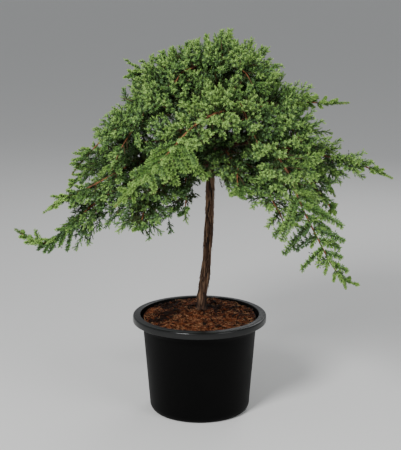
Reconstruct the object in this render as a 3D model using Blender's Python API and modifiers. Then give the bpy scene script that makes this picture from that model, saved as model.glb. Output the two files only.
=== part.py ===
"""A dwarf Japanese garden juniper grown as a small weeping tree on a clear stem, in its nursery pot.

Metres, +Z up. The origin is the middle of the pot's flat underside, and the front of the plant looks along -Y.
The pot holds a filling of bark and peat, the trunk stands on it, and boughs leave the trunk in two whorls.
Each bough ends where it enters its own mass of foliage, and a third whorl of masses sits on the trunk's top.
"""

import math

import bmesh
import bpy
import numpy as np
from mathutils import Matrix, Vector, noise

# The pot: a turned tub with a rolled rim that overhangs its wall.
POT_HEIGHT = 0.192
RIM_RADIUS = 0.130
RIM_DEPTH = 0.0135
RIM_INSIDE = 0.1155
WALL = 0.002
WALL_TOP_RADIUS = 0.110
WALL_FOOT_RADIUS = 0.098
FOOT_RADIUS = 0.088
CORNER_HEIGHT = 0.014
FLARE_HEIGHT = 0.012
POT_SIDES = 32
DRAIN_HOLES = 4
DRAIN_RADIUS = 0.0055
DRAIN_CIRCLE = 0.070

# The filling of the pot: a low mound whose crest is round the trunk.
GAP = 0.0003
SOIL_FIT = 0.0005
SOIL_EDGE_HEIGHT = 0.1835
SOIL_TOP = 0.1960
SOIL_LUMPS = 0.0022
SOIL_CREST_RADIUS = 0.020

# The trunk: heights above the floor, its sideways lean, its depth and its thickness there.
TRUNK_FOOT = (0.003, 0.012)
TRUNK_STATIONS = (
    (0.1963, 0.0000, 0.000, 0.0118),
    (0.2010, 0.0000, 0.000, 0.0102),
    (0.2120, 0.0012, 0.000, 0.0091),
    (0.2350, 0.0040, 0.001, 0.0087),
    (0.2620, 0.0075, 0.002, 0.0085),
    (0.3000, 0.0110, 0.003, 0.0074),
    (0.3500, 0.0145, 0.004, 0.0073),
    (0.4100, 0.0170, 0.006, 0.0072),
    (0.4700, 0.0178, 0.008, 0.0073),
    (0.5300, 0.0180, 0.008, 0.0068),
    (0.5900, 0.0190, 0.008, 0.0060),
    (0.6350, 0.0220, 0.008, 0.0048),
    (0.6600, 0.0260, 0.008, 0.0036),
)

# The boughs, by name: the height where they leave the trunk, their shoulder and their tip. A shoulder or a tip is an
# azimuth round the trunk's top in degrees (0 at the right, 270 at the front), a distance from it and a height.
# The last two are the mass's half width and the share of the bough that is thickly clad; the rest trails.
BOUGHS = {
    "left_trailing": (0.464, (202, 0.200, 0.440), (187.5, 0.374, 0.366), 0.036, 0.62),
    "left_long": (0.517, (202, 0.175, 0.482), (200, 0.327, 0.410), 0.040, 0.74),
    "front_left_low": (0.482, (236, 0.152, 0.468), (240, 0.253, 0.402), 0.040, 0.92),
    "front_left_inner": (0.500, (252, 0.115, 0.502), (256, 0.192, 0.424), 0.038, 0.95),
    "front_long": (0.545, (256, 0.205, 0.572), (234, 0.285, 0.446), 0.034, 0.62),
    "front_right_inner": (0.515, (288, 0.125, 0.515), (284, 0.196, 0.456), 0.034, 0.85),
    "front_right_low": (0.464, (306, 0.150, 0.464), (305, 0.226, 0.396), 0.036, 0.90),
    "front_right_hanging": (0.492, (304, 0.215, 0.530), (327, 0.318, 0.291), 0.042, 0.72),
    "right_low": (0.477, (331, 0.162, 0.482), (336, 0.250, 0.404), 0.040, 0.88),
    "right_long": (0.527, (354, 0.190, 0.509), (357, 0.347, 0.457), 0.038, 0.66),
    "back_right_low": (0.472, (20, 0.160, 0.495), (25, 0.280, 0.395), 0.046, 0.76),
    "back_right_inner": (0.507, (53, 0.155, 0.500), (60, 0.262, 0.378), 0.046, 0.82),
    "back_trailing": (0.492, (88, 0.165, 0.488), (95, 0.318, 0.352), 0.046, 0.66),
    "back_left_low": (0.477, (120, 0.155, 0.488), (127, 0.272, 0.374), 0.046, 0.82),
    "left_back_long": (0.522, (158, 0.170, 0.505), (162, 0.300, 0.412), 0.046, 0.72),
    "right_high": (0.607, (350, 0.130, 0.602), (359, 0.262, 0.600), 0.030, 0.58),
    "right_front_mid": (0.577, (322, 0.132, 0.598), (326, 0.220, 0.506), 0.045, 0.95),
    "front_right_mid": (0.592, (293, 0.120, 0.610), (297, 0.195, 0.524), 0.045, 0.95),
    "front_mid": (0.567, (253, 0.130, 0.598), (250, 0.208, 0.502), 0.045, 0.95),
    "front_left_mid": (0.600, (218, 0.130, 0.604), (219, 0.228, 0.496), 0.046, 0.95),
    "left_mid": (0.575, (182, 0.124, 0.584), (184, 0.264, 0.466), 0.042, 0.84),
    "back_left_mid": (0.590, (143, 0.130, 0.602), (140, 0.228, 0.500), 0.046, 0.95),
    "back_mid": (0.570, (104, 0.135, 0.602), (106, 0.230, 0.502), 0.045, 0.95),
    "back_right_mid": (0.600, (68, 0.135, 0.604), (66, 0.228, 0.504), 0.046, 0.95),
    "right_back_mid": (0.580, (28, 0.132, 0.594), (30, 0.226, 0.502), 0.045, 0.95),
}
# Three boughs bend more than that, past these places in turn between the trunk and the tip.
BENDS = {
    "left_trailing": ((206, 0.120, 0.485), (204, 0.228, 0.434), (199, 0.283, 0.368), (192.5, 0.326, 0.336)),
    "front_long": ((287, 0.070, 0.580), (279, 0.165, 0.614), (262, 0.226, 0.582), (249, 0.268, 0.522)),
    "front_right_hanging": (
        (300, 0.100, 0.540),
        (304, 0.215, 0.532),
        (308.5, 0.266, 0.432),
        (315, 0.294, 0.336),
        (323, 0.303, 0.298),
    ),
}
BOUGH_END = 0.30
BOUGH_POINTS = 5
BOUGH_RADIUS = (0.0040, 0.0026)

# The masses that sit on the trunk itself, in the same form as the boughs.
TOP_MASSES = {
    "crown_right": (0.648, (10, 0.066, 0.670), (2, 0.118, 0.648), 0.034, 1.0),
    "crown_back_right": (0.634, (72, 0.065, 0.677), (74, 0.130, 0.648), 0.037, 1.0),
    "crown_back_left": (0.648, (132, 0.065, 0.675), (134, 0.130, 0.642), 0.037, 1.0),
    "crown_left": (0.634, (184, 0.074, 0.664), (178, 0.158, 0.647), 0.032, 0.80),
    "crown_front_left": (0.648, (240, 0.065, 0.673), (238, 0.132, 0.636), 0.037, 1.0),
    "crown_front_right": (0.634, (302, 0.065, 0.677), (305, 0.130, 0.644), 0.037, 1.0),
}
CROWN_TOP_TIP = (0.057, 0.005, 0.723)
CROWN_TOP_WIDTH = 0.036
CROWN_TOP_START = 0.0009

# The shoots: each spray stands for a needle-clad shoot, and is larger than life because there are few.
SEED = 41
STEM_RADIUS = (0.0022, 0.0010)
STEM_START = 0.0007
STEM_POINTS = 10
WANDER = 0.0045
TRIES = 24
CORE_SET_BACK = 0.045
CORE_SIDES = 8
CORE_RINGS = 6
CORE_FLATTENING = 0.80
SPRAY_LENGTH = 0.040
SPRAY_WIDTH = 0.0150
SPRAY_ROOT = 0.009
SPRAYS_ON_CORE = 18
TRAIL_SPACING = 0.017
TRAIL_SPRAY_LENGTH = 0.050
CLEARANCE = 0.0016
GOLDEN_ANGLE = math.radians(137.5)

COLOURS = {
    "pot": ((0.012, 0.013, 0.014), 0.45),
    "soil": ((0.080, 0.032, 0.016), 0.95),
    "bark": ((0.090, 0.052, 0.034), 0.90),
    "foliage": ((0.085, 0.170, 0.060), 0.70),
}


def clear_scene():
    for obj in list(bpy.data.objects):
        bpy.data.objects.remove(obj, do_unlink=True)


def new_collection(name):
    made = bpy.data.collections.new(name)
    bpy.context.scene.collection.children.link(made)
    return made


def material(name):
    colour, roughness = COLOURS[name]
    made = bpy.data.materials.new(name)
    made.use_nodes = True
    shader = made.node_tree.nodes["Principled BSDF"]
    shader.inputs["Base Color"].default_value = (*colour, 1.0)
    shader.inputs["Roughness"].default_value = roughness
    shader.inputs["Metallic"].default_value = 0.0
    return made


def mesh_object(name, bm, collection, finish=None):
    """An object made from a closed bmesh, which is freed; its faces are turned outwards."""
    if bm.calc_volume(signed=True) < 0.0:
        bmesh.ops.reverse_faces(bm, faces=bm.faces)
    mesh = bpy.data.meshes.new(name)
    bm.to_mesh(mesh)
    bm.free()
    obj = bpy.data.objects.new(name, mesh)
    collection.objects.link(obj)
    if finish:
        mesh.materials.append(finish)
    return obj


def profile_object(name, points, collection, finish):
    """An open profile in the XZ plane, turned about Z."""
    bm = bmesh.new()
    corners = [bm.verts.new((x, 0.0, z)) for x, z in points]
    for first, second in zip(corners, corners[1:]):
        bm.edges.new((first, second))
    mesh = bpy.data.meshes.new(name)
    bm.to_mesh(mesh)
    bm.free()
    obj = bpy.data.objects.new(name, mesh)
    collection.objects.link(obj)
    mesh.materials.append(finish)
    turn = obj.modifiers.new("turn", "SCREW")
    turn.angle = math.tau
    turn.steps = turn.render_steps = POT_SIDES
    turn.use_merge_vertices = True
    turn.merge_threshold = 0.00005
    return obj


def tube_object(name, points, radii, collection, finish, resolution=1):
    """A tapering limb: a curve with a round bevel, whose radius follows its points."""
    curve = bpy.data.curves.new(name, "CURVE")
    curve.dimensions = "3D"
    curve.bevel_depth = 1.0
    curve.bevel_resolution = resolution
    curve.use_fill_caps = True
    spline = curve.splines.new("POLY")
    spline.points.add(len(points) - 1)
    for corner, place, radius in zip(spline.points, points, radii):
        corner.co = (*place, 1.0)
        corner.radius = radius
    obj = bpy.data.objects.new(name, curve)
    collection.objects.link(obj)
    curve.materials.append(finish)
    return obj


def as_mesh(obj, collection):
    """The same object as a mesh with its caps welded; a curve takes no Boolean."""
    bpy.context.view_layer.update()
    evaluated = obj.evaluated_get(bpy.context.evaluated_depsgraph_get())
    mesh = bpy.data.meshes.new_from_object(evaluated)
    bm = bmesh.new()
    bm.from_mesh(mesh)
    bmesh.ops.remove_doubles(bm, verts=bm.verts, dist=0.00002)
    bm.to_mesh(mesh)
    bm.free()
    name = obj.name
    matrix = obj.matrix_world.copy()
    bpy.data.objects.remove(obj, do_unlink=True)
    made = bpy.data.objects.new(name, mesh)
    made.matrix_world = matrix
    collection.objects.link(made)
    return made


def pot_inside(height):
    """The inside radius of the pot's wall at a height, below the flare under the rim."""
    top = POT_HEIGHT - RIM_DEPTH
    share = (height - CORNER_HEIGHT) / (top - CORNER_HEIGHT)
    return WALL_FOOT_RADIUS + (WALL_TOP_RADIUS - WALL_FOOT_RADIUS) * share - WALL


def build_pot(parts, cutters, finish):
    """The tub: its inside, over the rolled rim, down its outside and under its floor."""
    under_rim = POT_HEIGHT - RIM_DEPTH
    corner = [
        (
            FOOT_RADIUS + (WALL_FOOT_RADIUS - FOOT_RADIUS) * math.sin(angle),
            CORNER_HEIGHT * (1.0 - math.cos(angle)),
        )
        for angle in (math.radians(90), math.radians(60), math.radians(30), 0.0)
    ]
    inside = [
        (0.0, WALL),
        (FOOT_RADIUS - WALL, WALL),
        (pot_inside(CORNER_HEIGHT), CORNER_HEIGHT),
        (WALL_TOP_RADIUS - WALL, under_rim - FLARE_HEIGHT),
        (RIM_INSIDE, under_rim),
        (RIM_INSIDE, POT_HEIGHT - 0.0012),
    ]
    rim = [
        (RIM_INSIDE + 0.0012, POT_HEIGHT),
        (RIM_RADIUS - 0.0030, POT_HEIGHT - 0.0006),
        (RIM_RADIUS - 0.0006, POT_HEIGHT - 0.0030),
        (RIM_RADIUS, under_rim),
        (RIM_RADIUS - WALL, under_rim),
        (RIM_RADIUS - 0.0030, under_rim + 0.0080),
        (RIM_INSIDE + WALL, under_rim + 0.0060),
        (RIM_INSIDE + WALL, under_rim - 0.0010),
        (WALL_TOP_RADIUS, under_rim - FLARE_HEIGHT),
    ]
    pot = profile_object("pot", inside + rim + corner + [(0.0, 0.0)], parts, finish)
    bm = bmesh.new()
    for turn in range(DRAIN_HOLES):
        angle = math.tau * (turn + 0.5) / DRAIN_HOLES
        place = Vector((DRAIN_CIRCLE * math.cos(angle), DRAIN_CIRCLE * math.sin(angle), 0.0))
        bmesh.ops.create_cone(
            bm,
            cap_ends=True,
            segments=8,
            radius1=DRAIN_RADIUS,
            radius2=DRAIN_RADIUS,
            depth=4 * WALL,
            matrix=Matrix.Translation(place),
        )
    holes = mesh_object("drain_holes", bm, cutters)
    holes.hide_render = True
    holes.display_type = "WIRE"
    drain = pot.modifiers.new("drain", "BOOLEAN")
    drain.operation = "DIFFERENCE"
    drain.solver = "EXACT"
    drain.object = holes
    return pot


def build_soil(parts, finish):
    """The filling: it lies close to the pot's inside, and mounds up to the trunk's foot."""
    edge = SOIL_EDGE_HEIGHT - FLARE_HEIGHT - 0.004
    sides = [
        (0.0, WALL + GAP),
        (FOOT_RADIUS - 0.004, WALL + GAP),
        (pot_inside(CORNER_HEIGHT) - SOIL_FIT, CORNER_HEIGHT + 0.002),
        (pot_inside(edge) - SOIL_FIT, edge),
        (RIM_INSIDE - 0.0045, SOIL_EDGE_HEIGHT),
    ]
    crest = [
        (radius, SOIL_EDGE_HEIGHT)
        for radius in (0.096, 0.077, 0.058, 0.039, SOIL_CREST_RADIUS, 0.0)
    ]
    soil = profile_object("soil", list(reversed(sides + crest)), parts, finish)
    soil = as_mesh(soil, parts)
    outer = RIM_INSIDE - 0.0045
    for corner in soil.data.vertices:
        if corner.co.z < SOIL_EDGE_HEIGHT - 0.0001:
            continue
        radius = math.hypot(corner.co.x, corner.co.y)
        rise = 1.0 - min(1.0, max(0.0, (radius - SOIL_CREST_RADIUS) / (outer - SOIL_CREST_RADIUS)))
        lumpy = min(1.0, 4.0 * rise * (1.0 - rise)) if radius > SOIL_CREST_RADIUS + 0.001 else 0.0
        lump = noise.noise(Vector((corner.co.x, corner.co.y, 0.0)) * 60.0) * SOIL_LUMPS
        corner.co.z += (SOIL_TOP - SOIL_EDGE_HEIGHT) * rise**0.8 + lump * lumpy
        corner.co.x += TRUNK_FOOT[0] * rise
        corner.co.y += TRUNK_FOOT[1] * rise
    return soil


def trunk_point(height):
    """The trunk's centre and radius at a height, between its stations."""
    heights = [station[0] for station in TRUNK_STATIONS]
    x, y, radius = (np.interp(height, heights, [s[column] for s in TRUNK_STATIONS]) for column in (1, 2, 3))
    return Vector((TRUNK_FOOT[0] + x, TRUNK_FOOT[1] + y, height)), float(radius)


def build_trunk(parts, finish):
    points, radii = [], []
    for height, _, _, radius in TRUNK_STATIONS:
        points.append(trunk_point(height)[0])
        radii.append(radius)
    return tube_object("trunk", points, radii, parts, finish, resolution=6)


def polar(centre, place):
    azimuth, distance, height = place
    angle = math.radians(azimuth)
    return Vector((centre.x + distance * math.cos(angle), centre.y + distance * math.sin(angle), height))


def rounded_line(places, count):
    """Points in even steps on a line that is led past the places, with its corners cut until it is smooth."""
    for _ in range(4):
        cut = [places[0]]
        for near, far in zip(places, places[1:]):
            cut += [near.lerp(far, 0.25), near.lerp(far, 0.75)]
        places = cut + [places[-1]]
    lengths = [0.0]
    for near, far in zip(places, places[1:]):
        lengths.append(lengths[-1] + (far - near).length)
    points = []
    after = 1
    for index in range(count):
        goal = lengths[-1] * index / (count - 1)
        while after < len(places) - 1 and lengths[after] < goal:
            after += 1
        share = (goal - lengths[after - 1]) / (lengths[after] - lengths[after - 1])
        points.append(places[after - 1].lerp(places[after], share))
    return points


def bowed_line(start, middle, end, count):
    """Points on a single bow from the start through the middle to the end."""
    control = 2.0 * middle - 0.5 * (start + end)
    shares = [index / (count - 1) for index in range(count)]
    return [(1 - t) ** 2 * start + 2 * t * (1 - t) * control + t**2 * end for t in shares]


def bough_path(leave, shoulder, tip, phase, bends=(), count=41):
    """Points on a bough and on through its mass, over its shoulder or past its bends, with a slight wander."""
    start, _ = trunk_point(leave)
    axis, _ = trunk_point(0.5)
    middle, end = polar(axis, shoulder), polar(axis, tip)
    line = bowed_line(start, middle, end, count)
    if bends:
        line = rounded_line([start, *(polar(axis, bend) for bend in bends), end], count)
    side = (end - start).cross(Vector((0.0, 0.0, 1.0))).normalized()
    points = []
    for index, place in enumerate(line):
        t = index / (count - 1)
        sway = math.sin(2.2 * math.tau * t + phase) * math.sin(math.pi * t)
        lift = math.sin(1.7 * math.tau * t + 2.0 * phase) * math.sin(math.pi * t)
        points.append(place + side * (WANDER * sway) + Vector((0.0, 0.0, 0.6 * WANDER * lift)))
    return points


def along(points, share):
    """The point and the direction at a share of the path."""
    place = min(max(share, 0.0), 1.0) * (len(points) - 1)
    index = min(int(place), len(points) - 2)
    step = points[index + 1] - points[index]
    return points[index] + step * (place - index), step.normalized()


def clear_of_trunk(points, radius):
    """The share of the path where a limb's flat end of this radius first stands just clear of the trunk."""
    share = 0.0
    while True:
        centre, _ = along(points, share)
        forward = (along(points, share + (BOUGH_END - share) / (BOUGH_POINTS - 1))[0] - centre).normalized()
        across = forward.cross(Vector((0.0, 0.0, 1.0))).normalized()
        over = across.cross(forward)
        nearest = 1.0
        for turn in range(12):
            angle = math.tau * turn / 12
            corner = centre + (across * math.cos(angle) + over * math.sin(angle)) * radius
            middle, thickness = trunk_point(corner.z)
            nearest = min(nearest, (corner - middle).to_2d().length - thickness)
        if nearest > GAP:
            return share
        share += 0.0004


def cut_path(points, start, end, count):
    return [along(points, start + (end - start) * index / (count - 1))[0] for index in range(count)]


class Space:
    """Who owns which part of the crown: a point belongs to the mass whose stem is nearest."""

    def __init__(self):
        self.stems, self.owners = [], []
        self.limbs, self.thick = [], []

    def add_stem(self, owner, points):
        for first, second in zip(points, points[1:]):
            pieces = max(1, int((second - first).length / 0.004))
            for piece in range(pieces):
                self.stems.append(first.lerp(second, piece / pieces))
                self.owners.append(owner)
        self.stems.append(points[-1])
        self.owners.append(owner)

    def add_limb(self, points, radii):
        for index in range(len(points) - 1):
            for piece in range(4):
                self.limbs.append(points[index].lerp(points[index + 1], piece / 4))
                self.thick.append(max(radii[index], radii[index + 1]))
        self.limbs.append(points[-1])
        self.thick.append(radii[-1])

    def close(self):
        self.stems = np.array([tuple(p) for p in self.stems])
        self.owners = np.array(self.owners)
        self.limbs = np.array([tuple(p) for p in self.limbs])
        self.thick = np.array(self.thick)

    def off_limbs(self, place):
        return float((np.linalg.norm(self.limbs - np.array(tuple(place)), axis=1) - self.thick).min())

    def room(self, place, owner):
        """How far this point is from the edge of its mass's own space, or from a limb."""
        far = np.linalg.norm(self.stems - np.array(tuple(place)), axis=1)
        own = self.owners == owner
        return min(float(far[~own].min() - far[own].min()) / 2, self.off_limbs(place))


def side_frame(points, share):
    """A frame on a stem: its point, forward, sideways, and outwards from the crown."""
    place, forward = along(points, share)
    axis, _ = trunk_point(min(place.z, 0.62))
    away = (place - axis).normalized() + Vector((0.0, 0.0, 1.1))
    side = away.cross(forward).normalized()
    return place, forward, side, forward.cross(side).normalized()


def core_reach(points, share, angle, width, thick, owner, space):
    """How far the core goes from its stem in one direction, kept inside its own space."""
    place, _, side, out = side_frame(points, share)
    ray = side * math.cos(angle) + out * math.sin(angle) * CORE_FLATTENING
    swell = math.sin(math.pi * min(1.0, share / thick) ** 0.62) ** 0.55 if share < thick else 0.0
    lump = 1.0 + 0.30 * noise.noise((place + ray * 0.02) * 55.0)
    full = ray * (width * max(swell, 0.16) * lump)
    share_kept = 1.0
    while share_kept > 0.12 and space.room(place + full * share_kept, owner) < CLEARANCE:
        share_kept -= 0.06
    return place + full * share_kept, ray.normalized()


def build_core(points, start, width, thick, owner, space, collection):
    """The dense middle of a mass: a lumpy closed body round its stem."""
    bm = bmesh.new()
    bmesh.ops.create_uvsphere(bm, u_segments=CORE_SIDES, v_segments=CORE_RINGS, radius=1.0)
    for corner in bm.verts:
        level = math.acos(max(-1.0, min(1.0, -corner.co.z))) / math.pi
        share = start + (thick - start) * level
        if level in (0.0, 1.0) or corner.co.to_2d().length < 0.001:
            corner.co = along(points, share)[0]
            continue
        angle = math.atan2(corner.co.y, corner.co.x)
        corner.co, _ = core_reach(points, share, angle, width, thick, owner, space)
    return mesh_object("core", bm, collection)


def spray_object(root, direction, length, width, collection):
    """A needle-clad shoot: a slim spindle of six faces, widest near its root."""
    bm = bmesh.new()
    bmesh.ops.create_uvsphere(bm, u_segments=3, v_segments=2, radius=1.0)
    turn = direction.to_track_quat("Z", "Y").to_matrix()
    for corner in bm.verts:
        x, y, z = corner.co
        local = Vector((x * width / 2, y * width / 2, (0.36 + z * (0.64 if z > 0 else 0.36)) * length))
        corner.co = root + turn @ local
    return mesh_object("spray", bm, collection)


def spray_fits(root, direction, length, width, owner, space):
    """Whether a spray keeps to its mass's own space, and clear of every limb from its root on."""
    for share, half in ((0.0, 0.0), (0.12, 0.17), (0.24, 0.34)):
        if space.off_limbs(root + direction * (length * share)) < half * width + CLEARANCE:
            return False
    for share, half in ((0.36, 0.5), (0.60, 0.32), (0.82, 0.15), (1.0, 0.0)):
        if space.room(root + direction * (length * share), owner) < half * width + CLEARANCE * 0.6:
            return False
    return True


def clad_core(points, start, width, thick, owner, space, count, rng, collection):
    """Sprays that stand out of the core all round, thickest on its outer side."""
    for index in range(count):
        share = start + (thick - start) * (0.10 + 0.88 * (index + 0.5) / count)
        angle = index * GOLDEN_ANGLE + rng.uniform(-0.3, 0.3)
        surface, ray = core_reach(points, share, angle, width, thick, owner, space)
        _, forward, _, out = side_frame(points, share)
        direction = (ray + forward * rng.uniform(0.35, 0.75) + out * rng.uniform(0.25, 0.7)).normalized()
        length = SPRAY_LENGTH * rng.uniform(0.85, 1.25)
        for shrink in (1.0, 0.8, 0.65):
            root = surface - direction * SPRAY_ROOT * shrink - ray * 0.003
            if spray_fits(root, direction, length * shrink, SPRAY_WIDTH * shrink, owner, space):
                spray_object(root, direction, length * shrink, SPRAY_WIDTH * shrink, collection)
                break


def clad_trail(points, thick, owner, space, rng, collection):
    """Sprays that leave the bare end of the stem to the left and right in turn, and one at its tip."""
    length = sum((b - a).length for a, b in zip(points, points[1:]))
    count = int((1.0 - thick) * length / TRAIL_SPACING)
    for index in range(count):
        share = thick + (1.0 - thick) * (index + 0.15) / max(count, 1)
        place, forward, side, out = side_frame(points, share)
        hand = 1.0 if index % 2 else -1.0
        direction = (forward + side * hand * rng.uniform(0.75, 1.0) + out * rng.uniform(-0.35, 0.35)).normalized()
        taper = 1.0 - 0.55 * index / max(count, 1)
        for shrink in (1.0, 0.8, 0.6):
            size = TRAIL_SPRAY_LENGTH * taper * shrink * rng.uniform(0.85, 1.15)
            root = place - direction * 0.003
            if spray_fits(root, direction, size, SPRAY_WIDTH * 0.85 * shrink, owner, space):
                spray_object(root, direction, size, SPRAY_WIDTH * 0.85 * shrink, collection)
                break
    tip, forward = along(points, 1.0)
    spray_object(tip - forward * 0.022, forward, 0.030, SPRAY_WIDTH * 0.8, collection)


def fuse(name, core, collection, parts, finish, solver):
    """One Boolean union joins the core to all that stands out of it; its objects then go."""
    core.name = name
    join = core.modifiers.new("join", "BOOLEAN")
    join.operation = "UNION"
    join.operand_type = "COLLECTION"
    join.collection = collection
    join.solver = solver
    bpy.context.view_layer.update()
    evaluated = core.evaluated_get(bpy.context.evaluated_depsgraph_get())
    mesh = bpy.data.meshes.new_from_object(evaluated)
    bm = bmesh.new()
    bm.from_mesh(mesh)
    bmesh.ops.triangulate(bm, faces=bm.faces)
    keep_largest(bm)
    bm.to_mesh(mesh)
    bm.free()
    for obj in [core, *collection.objects]:
        bpy.data.objects.remove(obj, do_unlink=True)
    bpy.data.collections.remove(collection)
    mesh.materials.clear()
    mesh.materials.append(finish)
    made = bpy.data.objects.new(name, mesh)
    parts.objects.link(made)
    return made


def keep_largest(bm):
    """Drops loose scraps and the skins of sealed hollows, and keeps the one body."""
    waiting, shells = set(bm.faces), []
    while waiting:
        front = [waiting.pop()]
        shell = []
        while front:
            face = front.pop()
            shell.append(face)
            for edge in face.edges:
                for other in edge.link_faces:
                    if other in waiting:
                        waiting.remove(other)
                        front.append(other)
        shells.append(shell)
    shells.sort(key=len)
    for shell in shells[:-1]:
        bmesh.ops.delete(bm, geom=shell, context="FACES")


def build_mass(name, points, start, width, clad, space, parts, finishes, seed, solver):
    """One mass: its stem, a lumpy core round it, and the sprays that stand out of them."""
    rng = np.random.default_rng(seed)
    pieces = new_collection("pieces")
    stem = cut_path(points, start, 1.0, STEM_POINTS)
    radii = np.linspace(STEM_RADIUS[0], STEM_RADIUS[1], STEM_POINTS)
    as_mesh(tube_object("stem", stem, radii, pieces, finishes["foliage"], resolution=0), pieces)
    inner = start + CORE_SET_BACK
    thick = start + (0.985 - start) * clad
    core = build_core(points, inner, width, thick, name, space, parts)
    count = round(SPRAYS_ON_CORE * (0.55 + 0.45 * clad))
    clad_core(points, inner, width, thick, name, space, count, rng, pieces)
    clad_trail(points, thick, name, space, rng, pieces)
    return fuse(name, core, pieces, parts, finishes["foliage"], solver)


def is_closed(obj):
    """Whether every edge of the mass has two faces, as a union now and then leaves one that has not."""
    bm = bmesh.new()
    bm.from_mesh(obj.data)
    closed = all(len(edge.link_faces) == 2 for edge in bm.edges)
    bm.free()
    return closed


def build_crown(parts, finishes):
    space = Space()
    trunk = [(trunk_point(station[0])[0], station[3]) for station in TRUNK_STATIONS]
    space.add_limb([point for point, _ in trunk], [radius for _, radius in trunk])
    plans = []
    for index, (name, (leave, shoulder, tip, width, thick)) in enumerate(BOUGHS.items()):
        points = bough_path(leave, shoulder, tip, 1.7 * index, BENDS.get(name, ()))
        start = clear_of_trunk(points, BOUGH_RADIUS[0])
        limb = cut_path(points, start, BOUGH_END, BOUGH_POINTS)
        radii = np.linspace(*BOUGH_RADIUS, BOUGH_POINTS)
        tube_object("bough_" + name, limb, radii, parts, finishes["bark"])
        space.add_limb(limb, radii)
        length = sum((b - a).length for a, b in zip(points, points[1:]))
        plans.append((name, points, BOUGH_END + STEM_START / length, width, thick))
    for index, (name, (leave, shoulder, tip, width, thick)) in enumerate(TOP_MASSES.items()):
        points = bough_path(leave, shoulder, tip, 2.3 * index)
        plans.append((name, points, clear_of_trunk(points, STEM_RADIUS[0]), width, thick))
    top, _ = trunk_point(TRUNK_STATIONS[-1][0])
    tip = Vector(CROWN_TOP_TIP) + Vector((*TRUNK_FOOT, 0.0))
    lifted = top + (tip - top).normalized() * CROWN_TOP_START
    plans.append(("crown_top", [lifted.lerp(tip, step / 10) for step in range(11)], 0.0, CROWN_TOP_WIDTH, 1.0))
    for name, points, start, _, _ in plans:
        space.add_stem(name, cut_path(points, start, 1.0, 2 * STEM_POINTS))
    space.close()
    for index, (name, points, start, width, clad) in enumerate(plans):
        for attempt in range(TRIES):
            seed = SEED + index + 100 * (attempt // 2)
            solver = "MANIFOLD" if attempt % 2 else "EXACT"
            mass = build_mass(name, points, start, width, clad, space, parts, finishes, seed, solver)
            if is_closed(mass):
                break
            bpy.data.objects.remove(mass, do_unlink=True)
        mass.name = "foliage_" + name


def main():
    clear_scene()
    parts = new_collection("potted_juniper")
    cutters = new_collection("cutters")
    finishes = {name: material(name) for name in COLOURS}
    build_pot(parts, cutters, finishes["pot"])
    build_soil(parts, finishes["soil"])
    build_trunk(parts, finishes["bark"])
    build_crown(parts, finishes)


main()
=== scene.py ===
"""A dwarf Japanese garden juniper, grown as a small weeping tree in its nursery pot.

Metres, +Z up, front along -Y. The sections follow the plant as it stands: the pot, its filling, the trunk,
the boughs, the twigs, the needles, and then the floor, the lights and the camera. Every piece rides on
the one body, root.
"""

from math import copysign, cos, exp, hypot, pi, radians, sin, tau

import bmesh
import bpy
import numpy as np
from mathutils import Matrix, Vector, noise


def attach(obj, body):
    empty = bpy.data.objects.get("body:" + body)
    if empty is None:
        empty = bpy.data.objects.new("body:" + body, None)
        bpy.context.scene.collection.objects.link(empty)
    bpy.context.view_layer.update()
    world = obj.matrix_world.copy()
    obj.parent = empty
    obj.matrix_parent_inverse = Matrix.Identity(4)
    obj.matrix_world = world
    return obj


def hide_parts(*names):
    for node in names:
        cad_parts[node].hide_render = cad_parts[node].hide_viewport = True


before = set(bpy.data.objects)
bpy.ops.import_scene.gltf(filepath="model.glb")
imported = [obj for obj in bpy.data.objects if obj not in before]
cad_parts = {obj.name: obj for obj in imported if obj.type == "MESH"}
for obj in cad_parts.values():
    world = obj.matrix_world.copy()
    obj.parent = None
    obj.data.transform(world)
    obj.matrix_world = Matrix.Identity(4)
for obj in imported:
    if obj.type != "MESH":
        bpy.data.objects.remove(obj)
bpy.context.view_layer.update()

# The pot. A black nursery tub, moulded in one piece of polypropylene: a thin wall that widens upwards, a
# rolled rim that overhangs it and stiffens it, a rounded foot, and four drain holes in its flat floor.

POT_HEIGHT = 0.192
RIM_RADIUS = 0.130
RIM_DEPTH = 0.0135
RIM_INSIDE = 0.1155
WALL = 0.002
WALL_TOP_RADIUS = 0.110
WALL_FOOT_RADIUS = 0.098
FOOT_RADIUS = 0.088
CORNER_HEIGHT = 0.014
FLARE_HEIGHT = 0.012
POT_SIDES = 128
DRAIN_HOLES = 4
DRAIN_RADIUS = 0.0055
DRAIN_CIRCLE = 0.070
SHARP_EDGE = radians(40)
POT_TINTS = ((0.0012, 0.0012, 0.0012), (0.0026, 0.0026, 0.0026))
# The rim is the same black plastic as the tub: its lighter tints are painted sheen.
RIM_PAINTED_SHEEN_TINTS = ((0.0052, 0.0057, 0.0055), (0.0105, 0.0113, 0.0110))
COARSE_DETAIL = 4.0
FINE_DETAIL = 2.0
FINE_GRAIN = 6.0
GRAIN_DEPTH = 0.0004


def add_object(mesh, finish):
    mesh.materials.clear()
    mesh.materials.append(finish)
    made = bpy.data.objects.new(mesh.name, mesh)
    bpy.context.scene.collection.objects.link(made)
    return made


def add_piece(mesh, finish, slot, *nodes):
    """Fixes a piece to the plant's one body, in place of the nodes that it stands for."""
    piece = add_object(mesh, finish)
    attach(piece, "root")
    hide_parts(*nodes)


def fill_in(node, **values):
    """Sets a node's plain sockets. An underscore stands for the space in a socket's name."""
    for socket, value in values.items():
        node.inputs[socket.replace("_", " ")].default_value = value


def wire(tree, *rows):
    """Links one node's output to another's input, row by row."""
    for giver, output, taker, socket in rows:
        tree.links.new(giver.outputs[output], taker.inputs[socket])


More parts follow.
